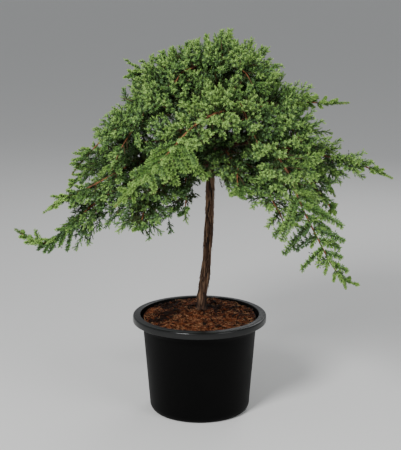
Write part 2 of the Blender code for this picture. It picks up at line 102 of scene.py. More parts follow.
def mottle_group():
    """Uneven colour and height: two sizes of soft grain, which may be drawn out along an axis."""
    group = bpy.data.node_groups.new("mottle", "ShaderNodeTree")
    for side, kind, names in (
        ("INPUT", "Vector", ("Stretch",)),
        ("INPUT", "Float", ("Scale", "Low", "High")),
        ("INPUT", "Color", ("Dark", "Light")),
        ("OUTPUT", "Color", ("Colour",)),
        ("OUTPUT", "Float", ("Mask", "Grain")),
    ):
        for name in names:
            group.interface.new_socket(name, in_out=side, socket_type="NodeSocket" + kind)
    given, handed = group.nodes.new("NodeGroupInput"), group.nodes.new("NodeGroupOutput")
    place, spread, coarse, fine, finer, mask, blend = (
        group.nodes.new("ShaderNode" + kind)
        for kind in ("TexCoord", "Mapping", "TexNoise", "TexNoise", "Math", "MapRange", "Mix")
    )
    fill_in(coarse, Detail=COARSE_DETAIL)
    fill_in(fine, Detail=FINE_DETAIL)
    finer.operation = "MULTIPLY"
    finer.inputs[1].default_value = FINE_GRAIN
    blend.data_type = "RGBA"
    wire(
        group,
        (place, "Object", spread, "Vector"),
        (given, "Stretch", spread, "Scale"),
        (given, "Scale", finer, 0),
        (spread, "Vector", coarse, "Vector"),
        (given, "Scale", coarse, "Scale"),
        (spread, "Vector", fine, "Vector"),
        (finer, 0, fine, "Scale"),
        (coarse, "Fac", mask, "Value"),
        (given, "Low", mask, "From Min"),
        (given, "High", mask, "From Max"),
        (mask, "Result", blend, "Factor"),
        (given, "Dark", blend, "A"),
        (given, "Light", blend, "B"),
        (blend, "Result", handed, "Colour"),
        (mask, "Result", handed, "Mask"),
        (fine, "Fac", handed, "Grain"),
    )
    return group


mottle = mottle_group()


def mottled_finish(
    name, tints, scale, stretch=(1, 1, 1), spread=(0.35, 0.65), rough=(0.5, 0.7), bump=0.3, gloss=0.3
):
    """A material whose colour runs unevenly between two, rougher where it is light, with a fine grain."""
    made = bpy.data.materials.new(name)
    made.use_nodes = True
    shader = made.node_tree.nodes["Principled BSDF"]
    uneven, roughness, relief = (
        made.node_tree.nodes.new("ShaderNode" + kind) for kind in ("Group", "MapRange", "Bump")
    )
    uneven.node_tree = mottle
    fill_in(uneven, Stretch=stretch, Scale=scale, Low=spread[0], High=spread[1])
    fill_in(uneven, Dark=(*tints[0], 1.0), Light=(*tints[1], 1.0))
    fill_in(roughness, To_Min=rough[0], To_Max=rough[1])
    fill_in(relief, Strength=bump, Distance=GRAIN_DEPTH)
    fill_in(shader, Specular_IOR_Level=gloss)
    wire(
        made.node_tree,
        (uneven, "Colour", shader, "Base Color"),
        (uneven, "Mask", roughness, "Value"),
        (roughness, "Result", shader, "Roughness"),
        (uneven, "Grain", relief, "Height"),
        (relief, "Normal", shader, "Normal"),
    )
    return made


def arc(radius, height, size, start, end, steps=5):
    """Points of a rounded edge on a turned profile, from one angle to another in degrees."""
    angles = [radians(start + (end - start) * step / steps) for step in range(steps + 1)]
    return [(radius + size * cos(angle), height + size * sin(angle)) for angle in angles]


def turned(profile, sides):
    """A closed body, turned about Z from radii and heights. A point on the axis is one corner."""
    bm = bmesh.new()
    rings = {}
    for radius, height in dict.fromkeys(profile):
        turns = [tau * side / sides for side in range(sides if radius > 0.0 else 1)]
        places = [(radius * cos(turn), radius * sin(turn), height) for turn in turns]
        rings[radius, height] = [bm.verts.new(place) for place in places]
    for near, far in zip(profile, profile[1:]):
        for side in range(sides):
            pairs = ((near, side), (near, side + 1), (far, side + 1), (far, side))
            corners = [rings[point][turn % len(rings[point])] for point, turn in pairs]
            bm.faces.new(list(dict.fromkeys(corners)))
    if bm.calc_volume(signed=True) < 0.0:
        bmesh.ops.reverse_faces(bm, faces=bm.faces)
    return bm


def mesh_of(name, form):
    mesh = bpy.data.meshes.new(name)
    form.to_mesh(mesh)
    form.free()
    return mesh


def heading_at(angle):
    return np.array((cos(angle), sin(angle), 0.0))


def inner_wall(height):
    """The wall's inside radius at a height, below the flare under the rim."""
    share = (height - CORNER_HEIGHT) / (POT_HEIGHT - RIM_DEPTH - FLARE_HEIGHT - CORNER_HEIGHT)
    return WALL_FOOT_RADIUS + (WALL_TOP_RADIUS - WALL_FOOT_RADIUS) * share - WALL


under_rim = POT_HEIGHT - RIM_DEPTH
foot_corner = WALL_FOOT_RADIUS - FOOT_RADIUS
pot_profile = [
    (0.0, WALL),
    (FOOT_RADIUS - WALL, WALL),
    (inner_wall(CORNER_HEIGHT), CORNER_HEIGHT),
    (WALL_TOP_RADIUS - WALL, under_rim - FLARE_HEIGHT),
    (RIM_INSIDE - 0.0010, under_rim - 0.0020),
    (RIM_INSIDE + 0.0002, under_rim),
    (RIM_INSIDE + 0.0002, under_rim + 0.0060),
    (RIM_INSIDE + WALL - 0.0002, under_rim + 0.0060),
    (RIM_INSIDE + WALL - 0.0002, under_rim - 0.0010),
    (WALL_TOP_RADIUS + 0.0005, under_rim - FLARE_HEIGHT + 0.0006),
    (WALL_TOP_RADIUS, under_rim - FLARE_HEIGHT - 0.0020),
    (WALL_FOOT_RADIUS + 0.0004, CORNER_HEIGHT + 0.0060),
    *[
        (FOOT_RADIUS + foot_corner * cos(turn), CORNER_HEIGHT * (1 - sin(turn)))
        for turn in map(radians, range(0, 91, 15))
    ],
    (FOOT_RADIUS - 0.0100, 0.0),
    (0.0, 0.0),
]
rim_profile = [
    (RIM_INSIDE, under_rim + 0.0010),
    *arc(RIM_INSIDE + 0.0012, POT_HEIGHT - 0.0012, 0.0012, 180, 90, 4),
    (RIM_INSIDE + 0.0035, POT_HEIGHT - 0.0008),
    *arc(RIM_RADIUS - 0.0032, POT_HEIGHT - 0.0038, 0.0030, 90, 8, 7),
    (RIM_RADIUS, under_rim + 0.0030),
    *arc(RIM_RADIUS - 0.0010, under_rim + 0.0010, 0.0010, 0, -180, 5),
    (RIM_RADIUS - 0.0022, under_rim + 0.0080),
    (RIM_RADIUS - 0.0040, under_rim + 0.0095),
    (RIM_INSIDE + WALL + 0.0010, under_rim + 0.0085),
    (RIM_INSIDE + WALL, under_rim + 0.0010),
    (RIM_INSIDE, under_rim + 0.0010),
]

pot_finish = mottled_finish(
    "black_polypropylene", POT_TINTS, 9.0, spread=(0.52, 0.95), rough=(0.50, 0.70), bump=0.12, gloss=0.06
)
# The rim's lower roughness is its satin finish; its lighter colour is painted sheen.
rim_finish = mottled_finish(
    "satin_rim_painted_sheen", RIM_PAINTED_SHEEN_TINTS, 14.0, spread=(0.40, 0.85), rough=(0.23, 0.36), bump=0.08, gloss=0.32
)
hole_punches = bmesh.new()
for hole in range(DRAIN_HOLES):
    punch = bmesh.ops.create_cone(
        hole_punches, cap_ends=True, segments=32, radius1=DRAIN_RADIUS, radius2=DRAIN_RADIUS, depth=4 * WALL
    )
    place = Vector(heading_at(tau * (hole + 0.5) / DRAIN_HOLES)) * DRAIN_CIRCLE
    bmesh.ops.translate(hole_punches, verts=punch["verts"], vec=place)
tub = add_object(mesh_of("tub", turned(pot_profile, POT_SIDES)), pot_finish)
punches = add_object(mesh_of("hole_punches", hole_punches), pot_finish)
drain = tub.modifiers.new("drain", "BOOLEAN")
drain.operation = "DIFFERENCE"
drain.object = punches
bpy.context.view_layer.update()
pot_mesh = bpy.data.meshes.new_from_object(tub.evaluated_get(bpy.context.evaluated_depsgraph_get()))
pot_mesh.name = "pot_moulding"
for helper in (tub, punches):
    bpy.data.objects.remove(helper, do_unlink=True)
rim_mesh = mesh_of("pot_rim", turned(rim_profile, POT_SIDES))
for mesh, finish in ((pot_mesh, pot_finish), (rim_mesh, rim_finish)):
    mesh.shade_smooth()
    mesh.set_sharp_from_angle(angle=SHARP_EDGE)
    add_piece(mesh, finish, "pot", "pot")

# The filling. Damp composted bark with coconut fibre, firmed in by hand: it lies a little under the rim, is
# heaped towards the trunk, and shows chips, crumbs and curled fibres on its top. It rests in the pot.

SOIL_EDGE_RADIUS = 0.1110
SOIL_EDGE_HEIGHT = 0.1835
SOIL_TOP = 0.1960
TRUNK_FOOT = (0.003, 0.012)
MOUND_TOP = 0.016
MOUND_SPREAD = 0.100
WALL_FADE = 0.012
TRUNK_FADE = 0.020
SOIL_RINGS = 64
SOIL_SIDES = 180
SOIL_LUMPS = ((0.0042, 32.0), (0.0024, 85.0), (0.0011, 240.0))
SOIL_TINTS = ((0.0030, 0.0011, 0.0006), (0.0260, 0.0068, 0.0024))
CLEAR_OF_WALL = 0.004
CLEAR_OF_TRUNK = 0.013
CLUMP_SCALE = 16.0
CLUMP_LAYER = 0.40
CLUMP_EDGE = (-0.45, 0.10)
IN_CLUMPS = 1
BETWEEN_CLUMPS = -1
CHIPS_OF_A_TINT = 750
CHIP_TINTS = {
    "dark": (((0.004, 0.002, 0.001), (0.020, 0.007, 0.003)), BETWEEN_CLUMPS),
    "rust": (((0.024, 0.006, 0.002), (0.090, 0.024, 0.007)), IN_CLUMPS),
}
SMALL_CHIP = ((0.0020, 0.0012, 0.0006), (0.0060, 0.0030, 0.0016))
LARGE_CHIP = ((0.006, 0.003, 0.0010), (0.015, 0.0065, 0.0022))
SMALL_CHIPS = 0.7
CHIP_KNOCK = 0.17
CHIP_TILT = 0.35
FIBRE_TINTS = {
    "rust": (((0.100, 0.025, 0.008), (0.300, 0.085, 0.026)), 2088),
    "straw": (((0.260, 0.115, 0.042), (0.560, 0.320, 0.160)), 812),
}
FIBRE_POINTS = 5
FIBRE_CURL = 1.6
FIBRE_LENGTHS = (0.006, 0.020)
FIBRE_RADII = (0.00016, 0.00036)
FIBRE_TAPER = (0.6, 1.0, 1.0, 0.9, 0.4)
FIBRE_LIFTS = (0.0003, 0.0030)


def soil_height(x, y):
    """The top of the filling at a place: a mound towards the trunk, and lumps that die out at the wall."""
    to_trunk = hypot(x - TRUNK_FOOT[0], y - TRUNK_FOOT[1])
    rise = max(0.0, 1.0 - max(0.0, to_trunk - MOUND_TOP) / MOUND_SPREAD)
    fade = min(1.0, max(0.0, (SOIL_EDGE_RADIUS - hypot(x, y)) / WALL_FADE))
    fade *= min(1.0, to_trunk / TRUNK_FADE)
    lumps = sum(size * noise.noise(Vector((x, y, 3.0 * size)) * scale) for size, scale in SOIL_LUMPS)
    return SOIL_EDGE_HEIGHT + (SOIL_TOP - SOIL_EDGE_HEIGHT) * rise**0.8 + lumps * fade


def mesh_from(name, corners, *face_sets):
    """A mesh from arrays: its corners, and its faces in sets, each of one number of corners a face."""
    mesh = bpy.data.meshes.new(name)
    mesh.vertices.add(len(corners))
    mesh.vertices.foreach_set("co", np.asarray(corners, np.float32).ravel())
    loops = np.concatenate([np.asarray(faces, np.int32).ravel() for faces in face_sets])
    counts = np.concatenate([np.full(len(faces), np.shape(faces)[1]) for faces in face_sets])
    mesh.loops.add(len(loops))
    mesh.loops.foreach_set("vertex_index", loops)
    mesh.polygons.add(len(counts))
    mesh.polygons.foreach_set("loop_start", np.concatenate([[0], np.cumsum(counts)[:-1]]).astype(np.int32))
    mesh.update(calc_edges=True)
    return mesh


soil_profile = [(0.0, WALL + 0.0003), (FOOT_RADIUS - 0.004, WALL + 0.0003)]
soil_profile += [(inner_wall(height) - 0.0005, height) for height in (CORNER_HEIGHT + 0.002, 0.09, 0.1670)]
soil_profile += [
    (SOIL_EDGE_RADIUS * (1 - ring / SOIL_RINGS), SOIL_EDGE_HEIGHT) for ring in range(SOIL_RINGS + 1)
]
mound = turned(soil_profile[::-1], SOIL_SIDES)
for corner in mound.verts:
    if corner.co.z > SOIL_EDGE_HEIGHT - 0.0001:
        corner.co.z = soil_height(corner.co.x, corner.co.y)
mound_mesh = mesh_of("bark_mix", mound)
mound_mesh.shade_smooth()
mound_finish = mottled_finish(
    "damp_bark_mix", SOIL_TINTS, 70.0, spread=(0.42, 0.72), rough=(0.75, 0.95), bump=1.0, gloss=0.10
)
add_piece(mound_mesh, mound_finish, "soil", "soil")

soil_rng = np.random.default_rng(7)


def soil_place(clumped):
    """A place on the filling, off the trunk's foot and the wall, in the rusty clumps or between them."""
    while True:
        x, y = soil_rng.uniform(-SOIL_EDGE_RADIUS, SOIL_EDGE_RADIUS, 2)
        clump = noise.noise(Vector((x, y, CLUMP_LAYER)) * CLUMP_SCALE)
        here = clumped * clump > soil_rng.uniform(*CLUMP_EDGE)
        off_wall = hypot(x, y) < SOIL_EDGE_RADIUS - CLEAR_OF_WALL
        if here and off_wall and hypot(x - TRUNK_FOOT[0], y - TRUNK_FOOT[1]) > CLEAR_OF_TRUNK:
            return Vector((x, y, soil_height(x, y)))


BOX_FACES = np.array([(0, 3, 2, 1), (4, 5, 6, 7), (0, 1, 5, 4), (1, 2, 6, 5), (2, 3, 7, 6), (3, 0, 4, 7)])
BOX_SQUARE = ((-0.5, -0.5), (0.5, -0.5), (0.5, 0.5), (-0.5, 0.5))
BOX_CORNERS = np.array([(x, y, z) for z in (-0.5, 0.5) for x, y in BOX_SQUARE])


def turn_from(first, second, angle):
    """A turn from one axis towards another, as a matrix."""
    made = np.eye(3)
    made[[first, second], [first, second]] = cos(angle)
    made[second, first] = sin(angle)
    made[first, second] = -sin(angle)
    return made


def bark_chips(count, clumped):
    """Split slivers of bark that lie tilted on the mix: each is a box with its corners knocked about."""
    corners = []
    for _ in range(count):
        small = soil_rng.random() < SMALL_CHIPS
        size = soil_rng.uniform(*SMALL_CHIP)
        size = size if small else soil_rng.uniform(*LARGE_CHIP)
        chip = (BOX_CORNERS + soil_rng.uniform(-CHIP_KNOCK, CHIP_KNOCK, (8, 3))) * size
        turn = soil_rng.uniform(0, tau)
        tilt, roll = soil_rng.normal(0, CHIP_TILT, 2)
        lie = turn_from(0, 1, turn) @ turn_from(2, 0, tilt) @ turn_from(1, 2, roll)
        corners.append(chip @ lie.T + np.array(soil_place(clumped)) + (0, 0, 0.3 * size[2]))
    return np.concatenate(corners), np.concatenate([BOX_FACES + 8 * index for index in range(count)])


for name, (tints, clumped) in CHIP_TINTS.items():
    chips = mesh_from("bark_chips_" + name, *bark_chips(CHIPS_OF_A_TINT, clumped))
    finish = mottled_finish("bark_chip_" + name, tints, 160.0, rough=(0.7, 0.95), bump=0.6, gloss=0.15)
    add_piece(chips, finish, "soil", "soil")


def unit(vector):
    return vector / (np.linalg.norm(vector, axis=-1, keepdims=True) + 1e-12)


def square_to(ahead, first):
    """Two directions square to these and to each other. The first of each path settles their turn."""
    guide = np.where(np.abs(first[..., 2:3]) > 0.8, (1.0, 0.0, 0.0), (0.0, 0.0, 1.0))
    across = unit(np.cross(ahead, guide))
    return across, np.cross(across, ahead)


def spun(across, over, turn):
    """Directions at these angles round an axis, from across it towards over it."""
    return across * np.cos(turn) + over * np.sin(turn)


def tubes(paths, radii, sides):
    """Thin round limbs from arrays, closed at both ends: paths (count, points, 3), radii (count, points)."""
    count, points, _ = paths.shape
    ahead = unit(np.gradient(paths, axis=1))
    across, over = square_to(ahead, ahead[:, :1])
    ring = spun(across[:, :, None], over[:, :, None], np.arange(sides)[:, None] * tau / sides)
    corners = (paths[:, :, None] + ring * radii[:, :, None, None]).reshape(-1, 3)
    first = (np.arange(count)[:, None] * points + np.arange(points - 1)) * sides
    side, after = np.arange(sides), (np.arange(sides) + 1) % sides
    walls = np.stack([side, after, after + sides, side + sides], axis=1)
    walls = (first[:, :, None, None] + walls).reshape(-1, 4)
    feet = np.arange(count)[:, None] * points * sides
    return corners, walls, np.concatenate([feet + side[::-1], feet + (points - 1) * sides + side])


def soil_fibres(count):
    """Curled strands of coconut fibre, half sunk in the mix. Every third one arches out of it."""
    paths = np.empty((count, FIBRE_POINTS, 3))
    spans = FIBRE_POINTS - 1
    for index in range(count):
        place = np.array(soil_place(IN_CLUMPS))
        heading, curl = soil_rng.uniform(0, tau), soil_rng.normal(0, FIBRE_CURL)
        length = soil_rng.uniform(*FIBRE_LENGTHS)
        for step in range(FIBRE_POINTS):
            place = place + heading_at(heading + curl * step / spans) * length / spans
            x, y = place[:2] * min(1.0, (SOIL_EDGE_RADIUS - 0.003) / max(1e-6, np.hypot(*place[:2])))
            lift = FIBRE_LIFTS[0] + FIBRE_LIFTS[1] * abs(sin(step * 0.8 + heading)) * (index % 3 == 0)
            paths[index, step] = (x, y, soil_height(x, y) + lift)
    return tubes(paths, soil_rng.uniform(*FIBRE_RADII, (count, 1)) * np.array(FIBRE_TAPER), 3)


for name, (tints, count) in FIBRE_TINTS.items():
    strands = mesh_from("coir_fibres_" + name, *soil_fibres(count))
    finish = mottled_finish("coir_" + name, tints, 90.0, rough=(0.6, 0.8), bump=0.2)
    add_piece(strands, finish, "soil", "soil")

# The trunk. One clear stem that leans a little to the right, with a slight flare at its foot. Its brown bark
# is ridged along the stem and flakes off in long shreds. It stands in the filling, cut at its surface.

TRUNK_STATIONS = (
    (0.1963, 0.0000, 0.000, 0.0118),
    (0.2010, 0.0000, 0.000, 0.0102),
    (0.2120, 0.0012, 0.000, 0.0091),
    (0.2350, 0.0040, 0.001, 0.0087),
    (0.2620, 0.0075, 0.002, 0.0085),
    (0.3000, 0.0110, 0.003, 0.0074),
    (0.3500, 0.0145, 0.004, 0.0073),
    (0.4100, 0.0170, 0.006, 0.0072),
    (0.4700, 0.0178, 0.008, 0.0073),
    (0.5300, 0.0180, 0.008, 0.0068),
    (0.5900, 0.0190, 0.008, 0.0060),
    (0.6350, 0.0220, 0.008, 0.0048),
    (0.6600, 0.0260, 0.008, 0.0036),
)
TRUNK_RINGS = 240
TRUNK_SIDES = 40
TRUNK_RELIEF = 0.0010
TRUNK_LOBES = 0.10
LOBE_HEIGHT = 0.010
RIDGES = (2.4, 26.0, 0.75)
PLATES = (5.5, 85.0, 0.45)
SHRED_COUNT = 330
SHRED_STEPS = 5
SHRED_FEET = (0.205, 0.500)
SHRED_LENGTHS = (0.010, 0.034)
SHRED_WIDTHS = (0.0010, 0.0026)
SHRED_CURLS = (0.0002, 0.0020)
SHRED_THICKNESS = 0.0005
SHRED_GAP = 0.0004
SHRED_SIDES = ((0, 1), (1, 2), (2, 3), (3, 0))
BARK_TINTS = ((0.0120, 0.0062, 0.0040), (0.1300, 0.0640, 0.0365))
SHRED_TINTS = ((0.0600, 0.0290, 0.0165), (0.3300, 0.1950, 0.1150))
BARK_STRETCH = (1.0, 1.0, 0.16)
UP = np.array((0.0, 0.0, 1.0))


def trunk_at(height):
    """The trunk's middle and radius at a height."""
    heights, *columns = np.transpose(TRUNK_STATIONS)
    x, y, radius = (np.interp(height, heights, column) for column in columns)
    return np.array((TRUNK_FOOT[0] + x, TRUNK_FOOT[1] + y, height)), float(radius)


def spans(places):
    """The lengths from each point of a line to the next."""
    return np.linalg.norm(np.diff(places, axis=0), axis=1)


def measured(places):
    """How far along a line each of its points lies."""
    return np.concatenate([[0.0], np.cumsum(spans(places))])


def ridge(turn, along, seed):
    """How far the bark stands out, from -1 to 1: ridges drawn out along the limb, broken into plates."""
    around = Vector((cos(turn), sin(turn), 0.0))
    long_ridges = noise.noise(around * RIDGES[0] + Vector((seed, 0.0, along * RIDGES[1])))
    plates = noise.noise(around * PLATES[0] + Vector((0.0, seed, along * PLATES[1])))
    return max(-1.0, min(1.0, 1.9 * (RIDGES[2] * long_ridges + PLATES[2] * plates)))


def bark_limb(points, radii, sides, relief, seed, lobes=0.0):
    """A limb with its bark's relief, closed at both ends: corners, wall faces and end faces."""
    points, radii, along = np.asarray(points), np.array(radii, float), measured(points)
    corners, walls, ends = tubes(points[None], radii[None], sides)
    corners = corners.reshape(len(points), sides, 3)
    for index, middle in enumerate(points):
        foot = exp(-along[index] / LOBE_HEIGHT) * lobes
        for side in range(sides):
            turn = tau * side / sides
            out = (corners[index, side] - middle) / radii[index]
            grow = relief * ridge(turn, along[index], seed) + foot * radii[index] * cos(3 * turn + 0.6)
            corners[index, side] += out * grow
    return corners.reshape(-1, 3), walls, ends


trunk_heights = np.linspace(TRUNK_STATIONS[0][0], TRUNK_STATIONS[-1][0], TRUNK_RINGS)
trunk_points, trunk_radii = zip(*(trunk_at(height) for height in trunk_heights))
trunk_mesh = mesh_from(
    "trunk_bark", *bark_limb(trunk_points, trunk_radii, TRUNK_SIDES, TRUNK_RELIEF, 1.7, TRUNK_LOBES)
)
trunk_mesh.shade_smooth()
bark_finish = mottled_finish(
    "ridged_bark", BARK_TINTS, 210.0, BARK_STRETCH, spread=(0.42, 0.72), rough=(0.75, 0.95), bump=0.8
)
add_piece(trunk_mesh, bark_finish, "bark", "trunk")

shred_rng = np.random.default_rng(19)


def bark_shreds(count):
    """Long thin flakes of old bark that cling along the trunk and curl away from it at their lower ends."""
    corners, faces = [], []
    for index in range(count):
        bottom = shred_rng.uniform(*SHRED_FEET)
        length, width = shred_rng.uniform(*SHRED_LENGTHS), shred_rng.uniform(*SHRED_WIDTHS)
        turn, twist = shred_rng.uniform(0, tau), shred_rng.normal(0, 0.18)
        curl = shred_rng.uniform(*SHRED_CURLS)
        for step in range(SHRED_STEPS + 1):
            level = step / SHRED_STEPS
            middle, radius = trunk_at(bottom + length * step / SHRED_STEPS)
            out = heading_at(turn + twist * step / SHRED_STEPS)
            away = radius + SHRED_GAP + curl * (1 - level) ** 2
            half = width * (0.25 + 0.75 * sin(pi * (0.12 + 0.80 * step / SHRED_STEPS))) / 2
            for depth, hand in ((SHRED_THICKNESS, -1), (SHRED_THICKNESS, 1), (0.0, 1), (0.0, -1)):
                corners.append(middle + out * (away + depth) + np.cross(UP, out) * (half * hand))
        base = index * 4 * (SHRED_STEPS + 1)
        for ring in range(base, base + 4 * SHRED_STEPS, 4):
            faces += [(ring + a, ring + b, ring + 4 + b, ring + 4 + a) for a, b in SHRED_SIDES]
        top = base + 4 * SHRED_STEPS
        faces += [(base + 3, base + 2, base + 1, base), (top, top + 1, top + 2, top + 3)]
    return np.array(corners), np.array(faces)


shred_mesh = mesh_from("bark_shreds", *bark_shreds(SHRED_COUNT))
shred_finish = mottled_finish(
    "shredding_bark", SHRED_TINTS, 160.0, BARK_STRETCH, spread=(0.35, 0.7), rough=(0.7, 0.95), bump=0.6
)
add_piece(shred_mesh, shred_finish, "bark", "trunk")

# The boughs. Woody limbs that leave the trunk in two whorls and bow over: the lower ones trail, the upper
# ones roof the crown. Each one's bark is like the trunk's but finer, and ends where its foliage starts.

# By name: the height at which it leaves the trunk, its shoulder and tip by azimuth, distance and height,
# how wide its mass is, and the share of it that branches clad.
BOUGHS = {
    "left_trailing": (0.464, (202, 0.200, 0.440), (187.5, 0.374, 0.366), 0.036, 0.62),
    "left_long": (0.517, (202, 0.175, 0.482), (200, 0.327, 0.410), 0.040, 0.74),
    "front_left_low": (0.482, (236, 0.152, 0.468), (240, 0.253, 0.402), 0.040, 0.92),
    "front_left_inner": (0.500, (252, 0.115, 0.502), (256, 0.192, 0.424), 0.038, 0.95),
    "front_long": (0.545, (256, 0.205, 0.572), (234, 0.285, 0.446), 0.034, 0.62),
    "front_right_inner": (0.515, (288, 0.125, 0.515), (284, 0.196, 0.456), 0.034, 0.85),
    "front_right_low": (0.464, (306, 0.150, 0.464), (305, 0.226, 0.396), 0.036, 0.90),
    "front_right_hanging": (0.492, (304, 0.215, 0.530), (327, 0.318, 0.291), 0.042, 0.72),
    "right_low": (0.477, (331, 0.162, 0.482), (336, 0.250, 0.404), 0.040, 0.88),
    "right_long": (0.527, (354, 0.190, 0.509), (357, 0.347, 0.457), 0.038, 0.66),
    "back_right_low": (0.472, (20, 0.160, 0.495), (25, 0.280, 0.395), 0.046, 0.76),
    "back_right_inner": (0.507, (53, 0.155, 0.500), (60, 0.262, 0.378), 0.046, 0.82),
    "back_trailing": (0.492, (88, 0.165, 0.488), (95, 0.318, 0.352), 0.046, 0.66),
    "back_left_low": (0.477, (120, 0.155, 0.488), (127, 0.272, 0.374), 0.046, 0.82),
    "left_back_long": (0.522, (158, 0.170, 0.505), (162, 0.300, 0.412), 0.046, 0.72),
    "right_high": (0.607, (350, 0.130, 0.602), (359, 0.262, 0.600), 0.030, 0.58),
    "right_front_mid": (0.577, (322, 0.132, 0.598), (326, 0.220, 0.506), 0.045, 0.95),
    "front_right_mid": (0.592, (293, 0.120, 0.610), (297, 0.195, 0.524), 0.045, 0.95),
    "front_mid": (0.567, (253, 0.130, 0.598), (250, 0.208, 0.502), 0.045, 0.95),
    "front_left_mid": (0.600, (218, 0.130, 0.604), (219, 0.228, 0.496), 0.046, 0.95),
    "left_mid": (0.575, (182, 0.124, 0.584), (184, 0.264, 0.466), 0.042, 0.84),
    "back_left_mid": (0.590, (143, 0.130, 0.602), (140, 0.228, 0.500), 0.046, 0.95),
    "back_mid": (0.570, (104, 0.135, 0.602), (106, 0.230, 0.502), 0.045, 0.95),
    "back_right_mid": (0.600, (68, 0.135, 0.604), (66, 0.228, 0.504), 0.046, 0.95),
    "right_back_mid": (0.580, (28, 0.132, 0.594), (30, 0.226, 0.502), 0.045, 0.95),
}
# Boughs that are led past bends of their own, each by azimuth, distance and height.
BENDS = {
    "left_trailing": ((206, 0.120, 0.485), (204, 0.228, 0.434), (199, 0.283, 0.368), (192.5, 0.326, 0.336)),
    "front_long": ((287, 0.070, 0.580), (279, 0.165, 0.614), (262, 0.226, 0.582), (249, 0.268, 0.522)),
    "front_right_hanging": (
        (300, 0.100, 0.540),
        (304, 0.215, 0.532),
        (308.5, 0.266, 0.432),
        (315, 0.294, 0.336),
        (323, 0.303, 0.298),
    ),
}
BOUGH_END = 0.30
BOUGH_RADII = (0.0040, 0.0026)
BOUGH_RINGS = 34
BOUGH_SIDES = 14
BOUGH_RELIEF = 0.0005
BOUGH_TINTS = ((0.0420, 0.0180, 0.0100), (0.1600, 0.0760, 0.0430))
WANDER = 0.0045


def around_crown(azimuth, distance, height):
    """A place by its azimuth in degrees about the trunk's top, its distance from it and its height."""
    axis, _ = trunk_at(0.5)
    return axis * (1, 1, 0) + distance * heading_at(radians(azimuth)) + UP * height


def stretch_of(path, start, end, count):
    """Even points on a stretch of a path, given as shares of it."""
    shares = np.linspace(start, end, count) * (len(path) - 1)
    return np.stack([np.interp(shares, np.arange(len(path)), path[:, axis]) for axis in range(3)], axis=1)


def rounded_line(places, count):
    """A line led past its places, with its corners cut until it is smooth, in even steps."""
    for _ in range(4):
        near, far = places[:-1] * 0.75 + places[1:] * 0.25, places[:-1] * 0.25 + places[1:] * 0.75
        places = np.concatenate([places[:1], np.stack([near, far], axis=1).reshape(-1, 3), places[-1:]])
    along = measured(places)
    steps = np.linspace(0.0, along[-1], count)
    return np.stack([np.interp(steps, along, places[:, axis]) for axis in range(3)], axis=1)


def bough_path(leave, shoulder, tip, phase, bends=(), count=41):
    """A bough's line and on through its mass: a bow from the trunk over its shoulder, or past its bends."""
    start, _ = trunk_at(leave)
    middle, end = around_crown(*shoulder), around_crown(*tip)
    control = 2.0 * middle - 0.5 * (start + end)
    side = unit(np.cross(end - start, UP))
    t = np.linspace(0.0, 1.0, count)[:, None]
    line = (1 - t) ** 2 * start + 2 * t * (1 - t) * control + t**2 * end
    if bends:
        line = rounded_line(np.array([start, *(around_crown(*bend) for bend in bends), end]), count)
    sway = np.sin(2.2 * tau * t + phase) * np.sin(pi * t)
    lift = np.sin(1.7 * tau * t + 2.0 * phase) * np.sin(pi * t)
    return line + side * (WANDER * sway) + UP * (0.6 * WANDER * lift)


bough_paths = {
    name: bough_path(leave, shoulder, tip, 1.7 * index, BENDS.get(name, ()))
    for index, (name, (leave, shoulder, tip, _, _)) in enumerate(BOUGHS.items())
}


def joined(parts):
    """Several meshes' arrays as one. Each part is its corners, and then its sets of faces."""
    shifts = np.cumsum([0] + [len(corners) for corners, *_ in parts[:-1]])
    corners, *face_sets = zip(*parts)
    return np.concatenate(corners), *(
        np.concatenate([faces + shift for faces, shift in zip(sets, shifts)]) for sets in face_sets
    )


bough_limbs = [stretch_of(path, 0.0, BOUGH_END, BOUGH_RINGS) for path in bough_paths.values()]
bough_radii = np.linspace(*BOUGH_RADII, BOUGH_RINGS)
bough_mesh = mesh_from(
    "bough_bark",
    *joined(
        [
            bark_limb(limb, bough_radii, BOUGH_SIDES, BOUGH_RELIEF, 3.1 * index)
            for index, limb in enumerate(bough_limbs)
        ]
    ),
)
bough_mesh.shade_smooth()
bough_finish = mottled_finish(
    "bough_bark", BOUGH_TINTS, 230.0, spread=(0.38, 0.7), rough=(0.7, 0.92), bump=0.6
)
add_piece(bough_mesh, bough_finish, "bark", *["bough_" + name for name in BOUGHS])

# The twigs. From each bough's end, and the trunk's top, a red-brown stem runs on through its mass and
# branches by one rule: branches at the golden angle round it, shoots left and right of each in turn, and
# green twigs on those, which bear the needles. Trailing ends bear long side twigs, here called fingers.

# The masses round the trunk's top, in the same terms as the boughs.
TOP_MASSES = {
    "crown_right": (0.648, (10, 0.066, 0.670), (2, 0.118, 0.648), 0.034, 1.0),
    "crown_back_right": (0.634, (72, 0.065, 0.677), (74, 0.130, 0.648), 0.037, 1.0),
    "crown_back_left": (0.648, (132, 0.065, 0.675), (134, 0.130, 0.642), 0.037, 1.0),
    "crown_left": (0.634, (184, 0.074, 0.664), (178, 0.158, 0.647), 0.032, 0.80),
    "crown_front_left": (0.648, (240, 0.065, 0.673), (238, 0.132, 0.636), 0.037, 1.0),
    "crown_front_right": (0.634, (302, 0.065, 0.677), (305, 0.130, 0.644), 0.037, 1.0),
}
CROWN_TOP_TIP = (0.057, 0.005, 0.723)
CROWN_TOP_WIDTH = 0.036
TRUNK_TWIGS_FROM = 0.600

